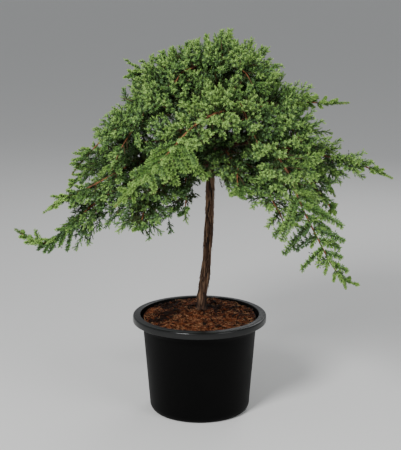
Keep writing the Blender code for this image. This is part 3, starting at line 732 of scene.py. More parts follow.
# How a mass grows: the size of its plumes and fingers and the room they keep, how far its branches reach
# to the sides and upwards, how they droop or rise, how light its shoots are, how its fingers stand and
# taper, and where its stem starts, is bare, thins into a trail, bears old sprigs and ends.
USUAL = dict(plume=1.0, finger=0.038, room=1.0, side=1.22, upper=0.14, droop=0.0, upward=None)
USUAL |= dict(lighter=0.0, spacing=0.010, taper=1.9, fan=None, start=None, bare=(2.0, 2.0))
USUAL |= dict(clad=None, aged=(0.0, 0.0, 0), end=1.0)
TRAITS = {
    "left_trailing": dict(
        finger=0.058, taper=1.1, lighter=0.02, bare=(0.52, 0.70), droop=0.45, side=1.4, clad=0.54, room=0.66
    ),
    "left_long": dict(
        finger=0.046, taper=1.3, lighter=0.16, bare=(0.45, 0.80), droop=0.5, clad=0.62, aged=(0.34, 0.54, 80)
    ),
    "left_back_long": dict(side=1.50, upper=0.40, aged=(0.40, 0.66, 100)),
    "left_mid": dict(side=1.40, droop=0.25),
    "front_left_low": dict(
        finger=0.024, side=1.50, upper=0.50, droop=0.20, upward=0.25, room=0.72, aged=(0.30, 0.90, 60)
    ),
    "front_left_inner": dict(
        finger=0.024, side=1.40, upper=0.50, droop=0.05, upward=0.40, room=0.72, aged=(0.30, 0.90, 60)
    ),
    "front_long": dict(
        finger=0.054, taper=1.6, lighter=0.52, bare=(0.49, 0.60), droop=0.2, start=0.14, upward=0.5, clad=0.58
    ),
    "front_right_inner": dict(lighter=0.40, side=1.40, droop=0.5, room=0.85),
    "front_right_low": dict(lighter=0.40, plume=0.90),
    "front_right_hanging": dict(
        finger=0.098, taper=0.9, spacing=0.013, lighter=0.34, bare=(0.34, 0.80), clad=0.36,
        fan=(0.85, 0.50, 0.0),
    ),
    "right_low": dict(finger=0.024, lighter=0.16, droop=0.3),
    "back_right_low": dict(finger=0.022, plume=0.80),
    "right_long": dict(finger=0.022, lighter=0.30, bare=(0.55, 0.80), droop=0.2, upward=0.02),
    "right_high": dict(finger=0.026, lighter=0.26, bare=(0.50, 0.80), droop=0.3, upward=0.2),
    "right_front_mid": dict(lighter=0.04),
    "back_trailing": dict(end=0.88),
    "front_left_mid": dict(side=1.60, upper=0.35),
    "front_mid": dict(side=1.35, upper=0.30, upward=1.1),
    "front_right_mid": dict(lighter=-0.02, side=1.45, upper=0.30, upward=1.1),
    "crown_back_left": dict(plume=0.66),
    "crown_left": dict(plume=0.80),
    "crown_front_left": dict(plume=0.80, side=1.50),
    "crown_front_right": dict(plume=0.90, side=1.50),
    "crown_right": dict(plume=0.90),
    "crown_top": dict(finger=0.010, plume=0.90, upper=0.85, droop=0.55, upward=0.25),
}
# Boughs that leave the trunk over this height are upper ones. Where a stem starts to branch, and how much
# its shoots rise, differs between upper boughs, lower boughs, the crown's masses and its leader.
UPPER_BOUGHS_OVER = 0.56
UPPER_START = 0.18
CROWN_START = 0.04
UPPER_RISE, LOWER_RISE, CROWN_RISE = 0.90, 0.10, 0.60
LEADER_START = 0.02
LEADER_RISE = 0.45
STEM_RADII = (0.0024, 0.0009)
STEM_POINTS = 24
STEM_THIN = 0.985

GOLDEN_ANGLE = radians(137.5)
FLATTENING = 0.80
BRANCH_SPACING = 0.0058
BRANCH_RADII = (0.0010, 0.0005)
BRANCH_LEAN = (0.30, 0.60)
BRANCH_POINTS = 6
BARE_WEDGE = radians(45)
BARE_TURN = 0.9
# Plumes are full round shoots, and ferns are the flat ones of the trailing ends.
PLUMES_AT = (0.25, 0.45, 0.65, 0.85, 1.0)
PLUME_LENGTH = 0.036
PLUME_SIZES = (0.72, 1.12)
PLUME_ROOM = 0.0128
PLUME_MIDDLE = 0.6
LEAST_PLUME = 0.45
FERN_ROOM = 0.45
SPIRE = 0.058
SPIRE_STEP = 0.0040
SPIRE_TUFT = (0.0060, 0.0018)
LEAST_FINGER = 0.011
LONG_FINGER = 0.034
FINGER_STEP = 0.0046
FINGER_TUFT = (0.0052, 0.11)
FINGER_STRAY = 0.40
FINGER_FORWARD = 0.85
FINGER_FORKS = ((0.30, -0.9), (0.60, 0.9))
# Single long side twigs: the bough, the share of it at which they leave, their direction, length and light.
SIDE_SPRAYS = (
    ("front_long", 0.69, (0.82, -0.10, -0.55), 0.074, 0.95),
    ("back_trailing", 0.80, (0.15, 1.0, 0.10), 0.066, 0.05),
)
# Old sprigs that close the crown behind its hollows: the bough, the stretch that bears them, and how many.
OLD_GROWTH = (
    ("left_mid", 0.25, 0.60, 70),
    ("front_left_mid", 0.30, 0.60, 30),
    ("front_left_low", 0.60, 0.95, 60),
    ("left_back_long", 0.40, 0.60, 30),
)
OLD_SPRIGS = 26
FOOT_SPRIGS = 34
OLD_SPRIG_LENGTHS = (0.012, 0.026)
# What keeps the crown's form from the front: its outline, the gaps in its skirt beside the trunk (left,
# right, low and high), and a hollow at the front left (across, height and radius). No shoot stands in
# front of the hollow, and those in it are shaded.
CROWN_OUTLINE = (
    (-0.25, 0.497), (-0.215, 0.527), (-0.12, 0.678), (0.057, 0.743), (0.132, 0.702), (0.19, 0.626)
)
OUTLINE_FALL = 2.0
SKIRT_OPENINGS = ((-0.016, 0.046, 0.000, 0.436), (0.044, 0.078, 0.478, 0.506))
POCKET = (-0.122, 0.490, 0.017)
POCKET_FRONT = -0.09
POCKET_SHADE = 0.9
SIGHT_FALL = 0.25
LIGHT_CELL = 0.017
LIGHT_DEPTH = 2
LIGHT_ANGLES = (-12, 12, 35, 65)
LIGHT_GAIN = 1.45
LIGHT_MEAN = 0.32
DARK_LIMIT = 0.13
SHOOT_SEGMENTS = 3
SHOOT_BEND = 0.16
SIDE_TUFTS = 9
FERN_TUFTS = 11
FERN_TUFT_TURNS = (0.35, 2.80)
BARE_SPRIG = 0.012
BARE_SPRIG_LIGHT = -1.0
TWIG_TINTS = ((0.0850, 0.0320, 0.0140), (0.3500, 0.1400, 0.0560))
BRANCH_TINTS = ((0.045, 0.022, 0.010), (0.150, 0.080, 0.035))
GREEN_TWIG_TINTS = ((0.0350, 0.0620, 0.0180), (0.0900, 0.1250, 0.0380))
GREEN_TWIG_RADIUS = 0.0010

grow_rng, age_rng = np.random.default_rng(23), np.random.default_rng(24)
stems, branches, finger_lines, old_sprigs = [], [], [], []
shoots = {key: [] for key in ("base", "ahead", "flat", "length", "light", "fern", "room", "branch")}
sprigs = {key: [] for key in ("foot", "tip", "light", "size")}


def trait(name, key):
    return TRAITS.get(name, {}).get(key, USUAL[key])


def add_shoot(base, ahead, flat, length, light, fern, room, branch=-1):
    """Notes a shoot: its foot, direction, upper side, length, light, form, room and its branch's number."""
    for key, value in zip(shoots, (base, unit(ahead), unit(flat), length, light, fern, room, branch)):
        shoots[key].append(value)


def add_sprigs(foot, tip, light, size):
    """Notes a set of sprigs, the last twigs of all: feet, tips, light, and the size of their needles."""
    for key, value in zip(sprigs, (foot, tip, light, np.broadcast_to(size, len(foot)))):
        sprigs[key].append(value)


def stem_frame(path, share):
    """A stem's point, and the directions ahead, sideways, and outwards from the crown."""
    place = stretch_of(path, share, share, 1)[0]
    before, after = (stretch_of(path, at, 1.0, 2)[0] for at in (share - 0.02, min(1.0, share + 0.02)))
    ahead = unit(after - before)
    axis, _ = trunk_at(min(place[2], 0.62))
    side = unit(np.cross(unit(place - axis) + 1.1 * UP, ahead))
    return place, ahead, side, np.cross(ahead, side)


def outline_over(places):
    """The height of the crown's outline over these places, which falls away to the front and the back."""
    ridge = np.interp(places[..., 0], *np.transpose(CROWN_OUTLINE))
    outside = (places[..., 0] < CROWN_OUTLINE[0][0]) | (places[..., 0] > CROWN_OUTLINE[-1][0])
    return ridge - OUTLINE_FALL * (places[..., 1] - TRUNK_FOOT[1]) ** 2 + outside


def clad_stem(name, path, start, thick, width, upward):
    """Short branches over a stem's thick part. Each ends in a plume and bears more of them on its way."""
    count = max(7, round(spans(stretch_of(path, start, thick, 12)).sum() / BRANCH_SPACING))
    droop, lighter, (bare_from, bare_to) = (trait(name, key) for key in ("droop", "lighter", "bare"))
    upper = trait(name, "upper")
    for index in range(count):
        level = (index + 0.5) / count
        share = start + (thick - start) * (0.99 * level - (0.10 if thick > 0.85 else 0.04))
        place, ahead, side, out = stem_frame(path, share)
        turn = (index * GOLDEN_ANGLE % tau) / tau - 0.5
        turn = turn * (tau - BARE_WEDGE) + grow_rng.uniform(-0.2, 0.2)
        if bare_from < share < bare_to and abs(turn) < BARE_TURN:
            turn += copysign(BARE_TURN, turn)
        ray = unit(out * cos(turn) * FLATTENING + side * sin(turn))
        swell = max(0.60, sin(pi * min(1.0, 0.12 + 0.88 * level) ** 0.62) ** 0.45)
        reach = width * swell * (upper + (trait(name, "side") - upper) * sin(turn) ** 2)
        reach *= 1.0 + 0.30 * noise.noise(Vector(place + ray * 0.02) * 50.0)
        lean = ray + ahead * grow_rng.uniform(*BRANCH_LEAN)
        t = np.linspace(0.0, 1.0, BRANCH_POINTS)[:, None]
        line = place + lean * reach * t + (UP * (0.15 - droop) - ray * 0.10 + ahead * 0.10) * reach * t**2
        line = line[: max(3, np.count_nonzero(line[:, 2] < outline_over(line) - 0.010))]
        line = stretch_of(line, 0.0, 1.0, BRANCH_POINTS)
        branches.append(line)
        heading = unit(line[-1] - line[-3])
        across = unit(np.cross(heading, out + 0.3 * UP))
        outwards = out * 0.40 * max(0.0, float(ray @ out))
        for order, along in enumerate(PLUMES_AT):
            base = stretch_of(line, along, along, 1)[0]
            hand = (1.0, -1.0)[(order + index) % 2] * (0.15 if along == 1.0 else 1.0)
            fan = across * hand * (0.75 - 0.30 * min(1.0, upward))
            way = unit(heading * 0.45 + fan + outwards + UP * upward * (1.5 - level) + ahead * 0.45)
            way = way - UP * (0.25 * level + 0.3 * droop) + grow_rng.normal(0, 0.12, 3)
            size = PLUME_LENGTH * trait(name, "plume") * grow_rng.uniform(*PLUME_SIZES)
            size *= 0.82 + 0.18 * along
            light = lighter + grow_rng.normal(0, 0.16)
            # The next branch reaches out as this shoot's upper side faces, so that no two reach alike.
            upper = unit(out + UP) + grow_rng.normal(0, 0.4, 3)
            add_shoot(base, way, upper, size, light, False, trait(name, "room"), len(branches) - 1)


def long_finger(foot, way, out, size, light):
    """A long side twig that hangs a little. Twigs leave it left and right in turn, and fork once more."""
    steps = round(size / FINGER_STEP)
    t = np.linspace(0.0, 1.0, steps + 1)[:, None]
    line = foot + unit(way) * size * t - UP * 0.12 * size * t**2
    finger_lines.append(stretch_of(line, 0.0, 1.0, BRANCH_POINTS))
    feet, ahead, level = line[:-1], unit(np.diff(line, axis=0)), t[:-1, 0]
    across = unit(np.cross(ahead, out)) * np.where(np.arange(steps) % 2, 1.0, -1.0)[:, None]
    # Its sprigs are painted darker on its axis and towards its foot, as shade, and lighter towards its tip.
    light, needle = light + 0.35 * (level - 0.4), 1.12 - 0.20 * level
    add_sprigs(feet, line[1:], light - 0.25 * (1.0 - level), needle)
    raised = unit(ahead + out * 0.9 + across * grow_rng.uniform(-0.4, 0.4, (steps, 1)))
    add_sprigs(feet, feet + raised * (0.003 + 0.06 * size), light - 0.10, 0.9 * needle)
    blunt = (1.0 - level[:, None]) ** 0.5 * (0.6 + 0.8 * level[:, None])
    for hand, share in ((1.0, 1.0), (-1.0, 0.6)):
        tuft = FINGER_TUFT[0] + FINGER_TUFT[1] * size * blunt
        tuft = tuft * share * grow_rng.uniform(0.65, 1.20, (steps, 1))
        aside = unit(ahead * 0.8 + across * hand + out * grow_rng.uniform(-0.15, 0.35, (steps, 1)))
        shade = light + 0.05 + grow_rng.normal(0, 0.14, steps)
        add_sprigs(feet, feet + aside * tuft, shade, needle)
        for place, turn in FINGER_FORKS if hand > 0 else ():
            forks = feet + aside * tuft * place
            fork_way = unit(aside + np.cross(aside, out) * turn)
            add_sprigs(forks, forks + fork_way * tuft * 0.5, shade + 0.10, 0.9 * needle)


def clad_trail(name, path, thick):
    """Fingers left and right in turn along the trailing end of a stem, and a spire of sprigs at its tip."""
    whole = spans(path).sum()
    length = (1.0 - thick) * whole
    count = max(2, round(length / trait(name, "spacing")))
    finger, lighter = trait(name, "finger"), trait(name, "lighter")
    for index in range(count):
        level = (index + 0.3) / count
        place, ahead, side, out = stem_frame(path, thick + (0.99 - thick) * level)
        for layer in range(2 if level < 0.75 else 1):
            turn = (index % 2) * pi + grow_rng.normal(0.0, FINGER_STRAY)
            turn = turn + (index // 2 % 2) * FINGER_STRAY - 0.5 * FINGER_STRAY
            way = ahead * FINGER_FORWARD + side * cos(turn) + out * sin(turn + 0.9 * layer)
            size = finger * (1.0 - 0.92 * level ** trait(name, "taper")) * grow_rng.uniform(0.85, 1.15)
            size *= 1.0 - 0.30 * layer
            light = lighter + 0.20 * level + grow_rng.normal(0, 0.12)
            upper = out + grow_rng.normal(0, 0.15, 3)
            if size > LONG_FINGER and finger > USUAL["finger"]:
                if layer == 0:
                    around = np.array(trait(name, "fan") or unit(np.cross(UP, out * (1.0, 1.0, 0.0))))
                    around = around * copysign(1.0, float(way @ around))
                    hang = UP * (0.40 + 0.5 * trait(name, "droop")) + grow_rng.normal(0, 0.14, 3)
                    way = around + ahead * (1.0, 1.0, 0.0) * FINGER_FORWARD - hang
                    long_finger(place, way, unit(upper), size * grow_rng.uniform(0.7, 1.05), light)
                else:
                    size = USUAL["finger"] * grow_rng.uniform(0.5, 0.9)
                    add_shoot(place, way, upper, size, light, True, FERN_ROOM)
            elif size > LEAST_FINGER:
                add_shoot(place, way, upper, size, light, True, FERN_ROOM)
    reach = min(SPIRE, max(0.012, 0.8 * length))
    steps = max(3, round(reach / SPIRE_STEP))
    spine = stretch_of(path, 1.0 - reach / whole, 1.0, steps + 1)
    for step in range(steps):
        level = step / steps
        _, ahead, side, out = stem_frame(path, 1.0 - reach / whole * (1.0 - level))
        turn = (step % 2) * pi + grow_rng.normal(0.0, 0.35)
        sideways = side * cos(turn) + out * sin(turn)
        upwards = out * 0.8 + side * grow_rng.uniform(-0.7, 0.7)
        tuft = SPIRE_TUFT[0] * (1.0 - level) + SPIRE_TUFT[1]
        ways = [unit(ahead + sideways * 0.9), unit(ahead - sideways * 0.9), unit(ahead + upwards)]
        tips = [spine[step] + way * tuft * grow_rng.uniform(0.75, 1.15) for way in ways]
        light = lighter + 0.15 + 0.30 * level + grow_rng.normal(0, 0.08)
        feet = np.array([spine[step]] * 4)
        add_sprigs(feet, np.array([spine[step + 1], *tips]), np.full(4, light), 0.95 - 0.25 * level)


def age_inside(path, first, last, count, rng=grow_rng):
    """Older sprigs that stand close round a stretch of a stem and close the crown, in a dark tint: browned
    needles and painted shade.
    """
    for _ in range(count):
        place, ahead, side, out = stem_frame(path, rng.uniform(first, last))
        turn = rng.uniform(0, tau)
        way = side * cos(turn) + out * sin(turn) * FLATTENING + ahead * rng.uniform(0.0, 0.7)
        old_sprigs.append((place, place + unit(way) * rng.uniform(*OLD_SPRIG_LENGTHS)))


stem_plans = []
for name, (leave, _, _, width, clad) in BOUGHS.items():
    start, upward = (UPPER_START, UPPER_RISE) if leave > UPPER_BOUGHS_OVER else (BOUGH_END, LOWER_RISE)
    stem_plans.append((name, bough_paths[name], start, width, clad, upward))
for index, (name, (leave, shoulder, tip, width, clad)) in enumerate(TOP_MASSES.items()):
    path = bough_path(leave, shoulder, tip, 2.3 * index)
    stem_plans.append((name, path, CROWN_START, width, clad, CROWN_RISE))
apex = np.array(CROWN_TOP_TIP) + (*TRUNK_FOOT, 0.0)
leader = [trunk_at(height)[0] for height in np.arange(TRUNK_TWIGS_FROM, TRUNK_STATIONS[-1][0], 0.006)]
leader = np.array(leader + [leader[-1] + (apex - leader[-1]) * step / 10 for step in range(1, 11)])
stem_plans.append(("crown_top", leader, LEADER_START, CROWN_TOP_WIDTH, 1.0, LEADER_RISE))

for name, path, start, width, clad, upward in stem_plans:
    start, upward = trait(name, "start") or start, trait(name, "upward") or upward
    path = stretch_of(path, 0.0, trait(name, "end"), len(path))
    thick = start + (STEM_THIN - start) * (trait(name, "clad") or clad)
    stems.append(stretch_of(path, start, 1.0, STEM_POINTS))
    clad_stem(name, path, start, thick, width, upward)
    clad_trail(name, path, thick)
    age_inside(path, 0.10 * thick, 0.70 * thick, OLD_SPRIGS)
    if name in BOUGHS:
        age_inside(path, 0.05, BOUGH_END, FOOT_SPRIGS)
    age_inside(path, *trait(name, "aged"))
for name, first, last, count in OLD_GROWTH:
    age_inside(bough_paths[name], first, last, count, age_rng)
for name, share, way, size, light in SIDE_SPRAYS:
    foot, _, _, out = stem_frame(bough_paths[name], share)
    long_finger(foot, np.array(way), out, size, light)


def picked(chosen):
    return {key: value[chosen] for key, value in shoots.items()}


def shoot_middles():
    return shoots["base"] + shoots["ahead"] * shoots["length"][:, None] * PLUME_MIDDLE


def seen_from_front(places):
    """How far across and how high places show from the front, where those farther back show higher."""
    return places[:, 0], places[:, 2] - SIGHT_FALL * (TRUNK_FOOT[1] - places[:, 1])


shoots = {key: np.array(value) for key, value in shoots.items()}
rise = np.clip(shoots["ahead"][:, 2] + 0.10, 0.15, None)
tips = shoots["base"] + shoots["ahead"] * shoots["length"][:, None]
above = np.clip(shoots["base"][:, 2] + rise * shoots["length"] - outline_over(tips), 0.0, None)
above[shoots["fern"]] = 0.0
clipped = shoots["length"] - above / rise
inside = clipped > LEAST_PLUME * shoots["length"]
shoots["length"] = clipped
across, height = seen_from_front(tips)
for left, right, low, high in SKIRT_OPENINGS:
    inside &= (across < left) | (across > right) | (height < low) | (height > high)
pocket = np.zeros(len(tips), bool)
for places in (tips, 0.5 * (shoots["base"] + tips)):
    across, height = seen_from_front(places)
    pocket |= np.hypot(across - POCKET[0], height - POCKET[1]) < POCKET[2]
inside &= ~pocket | (tips[:, 1] > POCKET_FRONT)
shoots["light"] -= POCKET_SHADE * pocket
shoots = picked(inside)

shoot_room = shoots["room"] * PLUME_ROOM
middles = shoot_middles()
kept_shoots = []
for index in np.argsort(grow_rng.random(len(middles)) - 2.0 * shoots["fern"]):
    gaps = np.linalg.norm(middles[kept_shoots] - middles[index], axis=1)
    if not kept_shoots or gaps.min() > shoot_room[index]:
        kept_shoots.append(index)
shoots = picked(sorted(kept_shoots))


def open_share(places, lifts):
    """The share of directions, at these angles over the horizon, that see a place before its neighbours."""
    lit = np.zeros(len(places))
    directions = [(azimuth, lift) for azimuth in range(0, 360, 20) for lift in lifts]
    for turn, rise in np.radians(directions):
        towards = heading_at(turn) * cos(rise) + UP * sin(rise)
        across = np.cross(UP, heading_at(turn))
        column = np.floor(places @ across / LIGHT_CELL + grow_rng.random())
        row = np.floor(places @ np.cross(towards, across) / LIGHT_CELL + grow_rng.random())
        cell = column * 1000 + row
        order = np.lexsort((-(places @ towards), cell))
        first = np.concatenate([[True], np.diff(cell[order]) != 0])
        rank = np.arange(len(order)) - np.maximum.accumulate(np.where(first, np.arange(len(order)), 0))
        lit[order] += rank < LIGHT_DEPTH
    return lit / len(directions)


# Shoots that many directions reach are painted lighter, and those that few reach darker: painted light and
# shade.
shoots["light"] += LIGHT_GAIN * (open_share(shoot_middles(), LIGHT_ANGLES) - LIGHT_MEAN)
in_view = open_share(shoot_middles(), (-35, *LIGHT_ANGLES)) > DARK_LIMIT
in_view |= shoots["fern"]
inner_shoots = picked(~in_view)
shoots = picked(in_view)
branches = [line for index, line in enumerate(branches) if np.count_nonzero(shoots["branch"] == index) > 1]
foliage_nodes = ["foliage_" + name for name, *_ in stem_plans]


def add_limbs(name, paths, radii, sides, finish):
    """Many limbs of one kind as one piece, which taper from the first radius to the second."""
    radii = np.tile(np.linspace(*radii, paths.shape[1]), (len(paths), 1))
    mesh = mesh_from(name, *tubes(paths, radii, sides))
    mesh.shade_smooth()
    add_piece(mesh, finish, "bark", *foliage_nodes)


branch_paths = np.array(branches + finger_lines)
twig_grain = {"spread": (0.35, 0.68), "rough": (0.6, 0.8)}
stem_finish = mottled_finish("red_brown_twig", TWIG_TINTS, 140.0, bump=0.4, **twig_grain)
add_limbs("foliage_stems", np.array(stems), STEM_RADII, 8, stem_finish)
branch_finish = mottled_finish("brown_branchlet", BRANCH_TINTS, 140.0, **twig_grain)
add_limbs("branchlets", branch_paths, BRANCH_RADII, 4, branch_finish)

# A shoot's line bends up a little towards its tip, and bears sprigs: on the line, to its sides and over it.
fern, shoot_count = shoots["fern"], len(shoots["fern"])
across = unit(np.cross(shoots["flat"], shoots["ahead"]))
facing = np.cross(shoots["ahead"], across)
steps = np.linspace(0.0, 1.0, SHOOT_SEGMENTS + 1)[None, :, None]
bend = (facing * 0.5 + UP * 0.5)[:, None] * SHOOT_BEND * steps**2
lines = shoots["base"][:, None] + (shoots["ahead"][:, None] * steps + bend) * shoots["length"][:, None, None]


def along_lines(share):
    """Each shoot's point and direction at a share of its line."""
    step, rest = divmod(share * SHOOT_SEGMENTS, 1.0)
    near, far = lines[:, int(step)], lines[:, int(step) + 1]
    return near * (1 - rest) + far * rest, unit(far - near)


# Sprigs on a shoot's line and to its sides are painted darker towards its foot, as shade inside the crown,
# and lighter towards its tip, where the growth is also new.
for step in range(SHOOT_SEGMENTS):
    inside = 0.60 * (step / (SHOOT_SEGMENTS - 1) - 0.8)
    needle = np.where(fern, 1.0 - 0.10 * step, 1.0)
    add_sprigs(lines[:, step], lines[:, step + 1], shoots["light"] + inside, needle)
for order in range(SIDE_TUFTS):
    along = 0.10 + 0.76 * order / (SIDE_TUFTS - 1)
    foot, ahead = along_lines(along)
    plume_turn = order * GOLDEN_ANGLE + shoots["light"] * 9.0
    fern_turn = (order % 2) * pi + grow_rng.normal(0.0, 0.30, shoot_count)
    radial = spun(across, facing, np.where(fern, fern_turn, plume_turn)[:, None])
    lean = np.where(fern, 0.85, 0.75)[:, None] + grow_rng.normal(0.0, 0.10, (shoot_count, 1))
    fern_size = 0.0020 + shoots["length"] * 0.23 * (1.0 - along) ** 0.8
    plume_size = 0.0046 + shoots["length"] * (0.18 - 0.11 * along)
    size = np.where(fern, fern_size, plume_size)[:, None] * grow_rng.uniform(0.85, 1.15, (shoot_count, 1))
    light = shoots["light"] + 0.8 * (along - 0.45) + grow_rng.normal(0, 0.06, shoot_count)
    needle = np.where(fern, 1.0 - 0.25 * along, 1.0)
    add_sprigs(foot, foot + unit(ahead + radial * lean) * size, light, needle)
for order in range(FERN_TUFTS):
    along = 0.14 + 0.66 * order / (FERN_TUFTS - 1)
    foot, ahead = (value[fern] for value in along_lines(along))
    radial = spun(across[fern], facing[fern], grow_rng.uniform(*FERN_TUFT_TURNS, (len(foot), 1)))
    size = 0.0022 + shoots["length"][fern, None] * 0.17 * (1.0 - along)
    light = shoots["light"][fern] + 0.5 * (along - 0.35)
    add_sprigs(foot, foot + unit(ahead + radial * 0.9) * size, light, 0.95 - 0.20 * along)
# Short sprigs along the branchlets, in the darkest tint: painted shade.
for share in (0.20, 0.50, 0.80):
    foot = branch_paths[:, 1] * (1 - share) + branch_paths[:, 4] * share
    away = unit(grow_rng.normal(0, 1, foot.shape))
    add_sprigs(foot, foot + away * BARE_SPRIG, np.full(len(foot), BARE_SPRIG_LIGHT), 1.0)
sprigs = {key: np.concatenate(value) for key, value in sprigs.items()}

# Shoots that no light reaches turn into old sprigs, to the left and right of their own line.
inner_along = inner_shoots["ahead"] * inner_shoots["length"][:, None]
inner_across = unit(np.cross(inner_shoots["flat"], inner_along)) * inner_shoots["length"][:, None]
old_feet, old_tips = (list(ends) for ends in zip(*old_sprigs))
for along, sideways in ((0.0, 0.0), (0.15, 0.5), (0.3, -0.5), (0.45, 0.4), (0.6, -0.4)):
    old_feet.extend(inner_shoots["base"] + inner_along * along)
    old_tips.extend(inner_shoots["base"] + inner_along * (along + 0.45) + inner_across * sideways)
old_feet, old_tips = np.array(old_feet), np.array(old_tips)


def tapered_twigs(foot, tip):
    """A three-sided twig up the middle of every sprig, which runs out to a point at its tip."""
    ahead = unit(tip - foot)
    across, over = square_to(ahead, ahead)
    ring = spun(across[:, None], over[:, None], np.arange(3)[:, None] * tau / 3)
    corners = np.concatenate([foot[:, None] + ring * GREEN_TWIG_RADIUS, tip[:, None]], axis=1).reshape(-1, 3)
    start = np.arange(len(foot))[:, None] * 4
    return corners, np.concatenate([start + face for face in ((0, 1, 3), (1, 2, 3), (2, 0, 3))])


green_twig_finish = mottled_finish(
    "green_twig", GREEN_TWIG_TINTS, 150.0, spread=(0.35, 0.68), rough=(0.55, 0.75), bump=0.2
)
twig_mesh = mesh_from("green_twigs", *tapered_twigs(sprigs["foot"], sprigs["tip"]))
add_piece(twig_mesh, green_twig_finish, "foliage", *foliage_nodes)

# The needles. Sharp awl-shaped leaves, 3 to 7 mm long and up to 10 mm on the oldest sprigs, in whorls of
# three up every sprig, grooved on their upper side, where they are paler, and paler still as painted
# highlight.
# New sprigs and those in the light take lighter, yellower tints, old and shaded ones darker, bluer ones: most
# of that lightness is painted light and shade.

WHORLS = 4
OLD_WHORLS = 1
TUFT_START = 0.20
NEEDLE_LENGTH = 0.0054
NEEDLE_LENGTHS = (0.80, 1.10)
NEEDLE_WIDTH = 0.0017
NEEDLE_FOLD = 0.30
NEEDLE_SHOULDER = 0.16
NEEDLE_SPREAD = (1.10, 0.25)
OLD_NEEDLE_SIZE = 1.70
# Tints from darkest to lightest, dealt by each sprig's light: mostly painted light and shade, partly new
# growth.
LIT_AND_SHADED_TINTS = {
    "shaded": ((0.014, 0.040, 0.008), (0.030, 0.070, 0.016)),
    "deep": ((0.038, 0.100, 0.018), (0.065, 0.145, 0.036)),
    "blue": ((0.075, 0.165, 0.051), (0.117, 0.222, 0.087)),
    "mid": ((0.094, 0.210, 0.039), (0.140, 0.280, 0.070)),
    "fresh": ((0.134, 0.278, 0.047), (0.197, 0.355, 0.088)),
    "new": ((0.206, 0.370, 0.061), (0.288, 0.465, 0.121)),
}
TINT_LIMITS = (-0.30, -0.03, 0.18, 0.38, 0.61)
# The old sprigs' tint: browned older needles, darkened further as painted shade.
OLD_AND_SHADE_TINT = ((0.016, 0.028, 0.006), (0.032, 0.048, 0.012))
# How much paler the grooved side is: its pale bands, brightened further as painted highlight.
PALE_SIDE_AND_HIGHLIGHT = (1.60, 1.48, 1.66)
NEEDLE_GLOSS = 0.42


def needles_on(foot, tip, size, whorls, seed):
    """Some of each sprig's whorls of needles. A needle is a folded blade of two faces, pointed at its tip."""
    rng = np.random.default_rng(seed)
    ahead = unit(tip - foot)
    across, over = square_to(ahead, ahead)
    foot, tip, ahead, across, over = (part[:, None, None] for part in (foot, tip, ahead, across, over))
    whorl = np.array(whorls)[None, :, None]
    level = (whorl + 0.5 + rng.uniform(-0.3, 0.3, (len(foot), len(whorls), 3))) / WHORLS
    turn = tau / 3 * np.arange(3) + whorl * tau / 6 + rng.normal(0, 0.15, level.shape)
    turn = turn + rng.uniform(0, tau, (len(foot), 1, 1))
    place = foot + (tip - foot) * (TUFT_START + (1 - TUFT_START) * level)[..., None]
    radial = spun(across, over, turn[..., None])
    spread = NEEDLE_SPREAD[0] + (NEEDLE_SPREAD[1] - NEEDLE_SPREAD[0]) * level
    spread = spread + rng.normal(0, 0.10, level.shape)
    way = unit(spun(ahead, radial, spread[..., None]))
    size = np.broadcast_to(size, len(foot))[:, None, None, None]
    length = size * NEEDLE_LENGTH * rng.uniform(*NEEDLE_LENGTHS, level.shape)[..., None]
    length = length * (1.05 - 0.25 * level[..., None])
    sideways = unit(np.cross(way, radial)) * size * NEEDLE_WIDTH / 2
    inner = unit(ahead - radial * 0.6)
    shoulder = place + way * length * NEEDLE_SHOULDER + inner * NEEDLE_WIDTH * NEEDLE_FOLD
    corners = np.stack([place, shoulder + sideways, place + way * length, shoulder - sideways], axis=-2)
    corners = corners.reshape(-1, 3)
    start = np.arange(len(corners) // 4)[:, None] * 4
    return corners, np.concatenate([start + (0, 1, 2), start + (0, 2, 3)])


def needle_finish(name, tints):
    """A green skin with slight unevenness, paler on the grooved side: partly its pale bands, partly painted
    highlight.
    """
    made = mottled_finish(
        name, tints, 70.0, spread=(0.30, 0.70), rough=(0.46, 0.60), bump=0.05, gloss=NEEDLE_GLOSS
    )
    nodes = made.node_tree.nodes
    shader = nodes["Principled BSDF"]
    sides, pale = nodes.new("ShaderNodeNewGeometry"), nodes.new("ShaderNodeMix")
    pale.data_type = "RGBA"
    uneven = shader.inputs["Base Color"].links[0].from_node
    pale.inputs["B"].default_value = (*(value * share for value, share in zip(tints[1], PALE_SIDE_AND_HIGHLIGHT)), 1.0)
    wire(
        made.node_tree,
        (sides, "Backfacing", pale, "Factor"),
        (uneven, "Colour", pale, "A"),
        (pale, "Result", shader, "Base Color"),
    )
    return made


# Each sprig's upper whorls take its own tint, and the lowest one, which is older and sits in the sprig's
# shade, the tint two steps darker: partly age, partly painted shade.
sprig_tint = np.digitize(sprigs["light"], TINT_LIMITS)
for index, (name, tints) in enumerate(LIT_AND_SHADED_TINTS.items()):
    young, old_and_shaded = sprig_tint == index, sprig_tint == index + 2
    old_and_shaded |= (sprig_tint <= 1) & (index == 0)
    upper_whorls = range(OLD_WHORLS, WHORLS, 2 if index == 0 else 1)
    blades = [
        needles_on(*(sprigs[key][chosen] for key in ("foot", "tip", "size")), whorls, seed + index)
        for chosen, whorls, seed in ((young, upper_whorls, 100), (old_and_shaded, range(OLD_WHORLS), 200))
    ]
    mesh = mesh_from("needles_" + name, *joined(blades))
    add_piece(mesh, needle_finish("needle_" + name, tints), "foliage", *foliage_nodes)
# The old sprigs' needles, in a dark tint that is partly age and partly painted shade.
old_blades = needles_on(old_feet, old_tips, OLD_NEEDLE_SIZE, range(OLD_WHORLS, WHORLS), 300)
old_mesh = mesh_from("needles_old_and_shade", *old_blades)
add_piece(old_mesh, needle_finish("needle_old_and_shade", OLD_AND_SHADE_TINT), "foliage", *foliage_nodes)

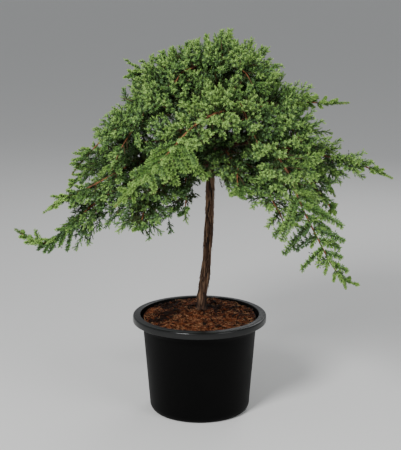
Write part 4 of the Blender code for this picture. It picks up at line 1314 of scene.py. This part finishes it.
# The floor, the lights and the camera. A plain pale studio: one wide soft light from the upper left and
# front, two weaker ones from the right and the back, and a camera a little over the crown, which looks
# down on the pot.

FLOOR_TINTS = ((0.78, 0.78, 0.77), (0.78, 0.78, 0.77))
FLOOR_REACH = 30.0
CAMERA_HEIGHT = 0.855
CAMERA_DISTANCE = 2.2
CAMERA_OFFSET = 0.0018
CAMERA_TILT = 12.5
CAMERA_LENS = 94.0
LIGHTS = {
    "key": ((-1.2, -2.1, 2.0), (0.0, 0.0, 0.45), 0.9, 88.0),
    "fill": ((1.7, -1.7, 1.3), (0.0, 0.0, 0.45), 1.4, 20.0),
    "back": ((0.8, 1.9, 1.8), (0.0, 0.0, 0.50), 1.2, 14.0),
}
SKY_COLOUR = (0.80, 0.82, 0.84, 1.0)
SKY_STRENGTH = 0.42

floor_sheet = bmesh.new()
bmesh.ops.create_grid(floor_sheet, x_segments=1, y_segments=1, size=FLOOR_REACH)
floor_finish = mottled_finish("pale_floor", FLOOR_TINTS, 3.0, rough=(0.85, 0.9), bump=0.0)
add_object(mesh_of("floor", floor_sheet), floor_finish)

for name, (place, aim, size, power) in LIGHTS.items():
    light = bpy.data.lights.new(name, "AREA")
    light.shape = "DISK"
    light.size = size
    light.energy = power
    holder = bpy.data.objects.new(name, light)
    bpy.context.scene.collection.objects.link(holder)
    holder.location = place
    holder.rotation_euler = (Vector(aim) - Vector(place)).to_track_quat("-Z", "Y").to_euler()

world = bpy.data.worlds.new("studio")
bpy.context.scene.world = world
world.use_nodes = True
fill_in(world.node_tree.nodes["Background"], Color=SKY_COLOUR, Strength=SKY_STRENGTH)

camera_data = bpy.data.cameras.new("portrait")
camera_data.lens = CAMERA_LENS
camera = bpy.data.objects.new("portrait", camera_data)
bpy.context.scene.collection.objects.link(camera)
camera.location = (CAMERA_OFFSET, -CAMERA_DISTANCE, CAMERA_HEIGHT)
camera.rotation_euler = (radians(90.0 - CAMERA_TILT), 0.0, 0.0)
bpy.context.scene.camera = camera
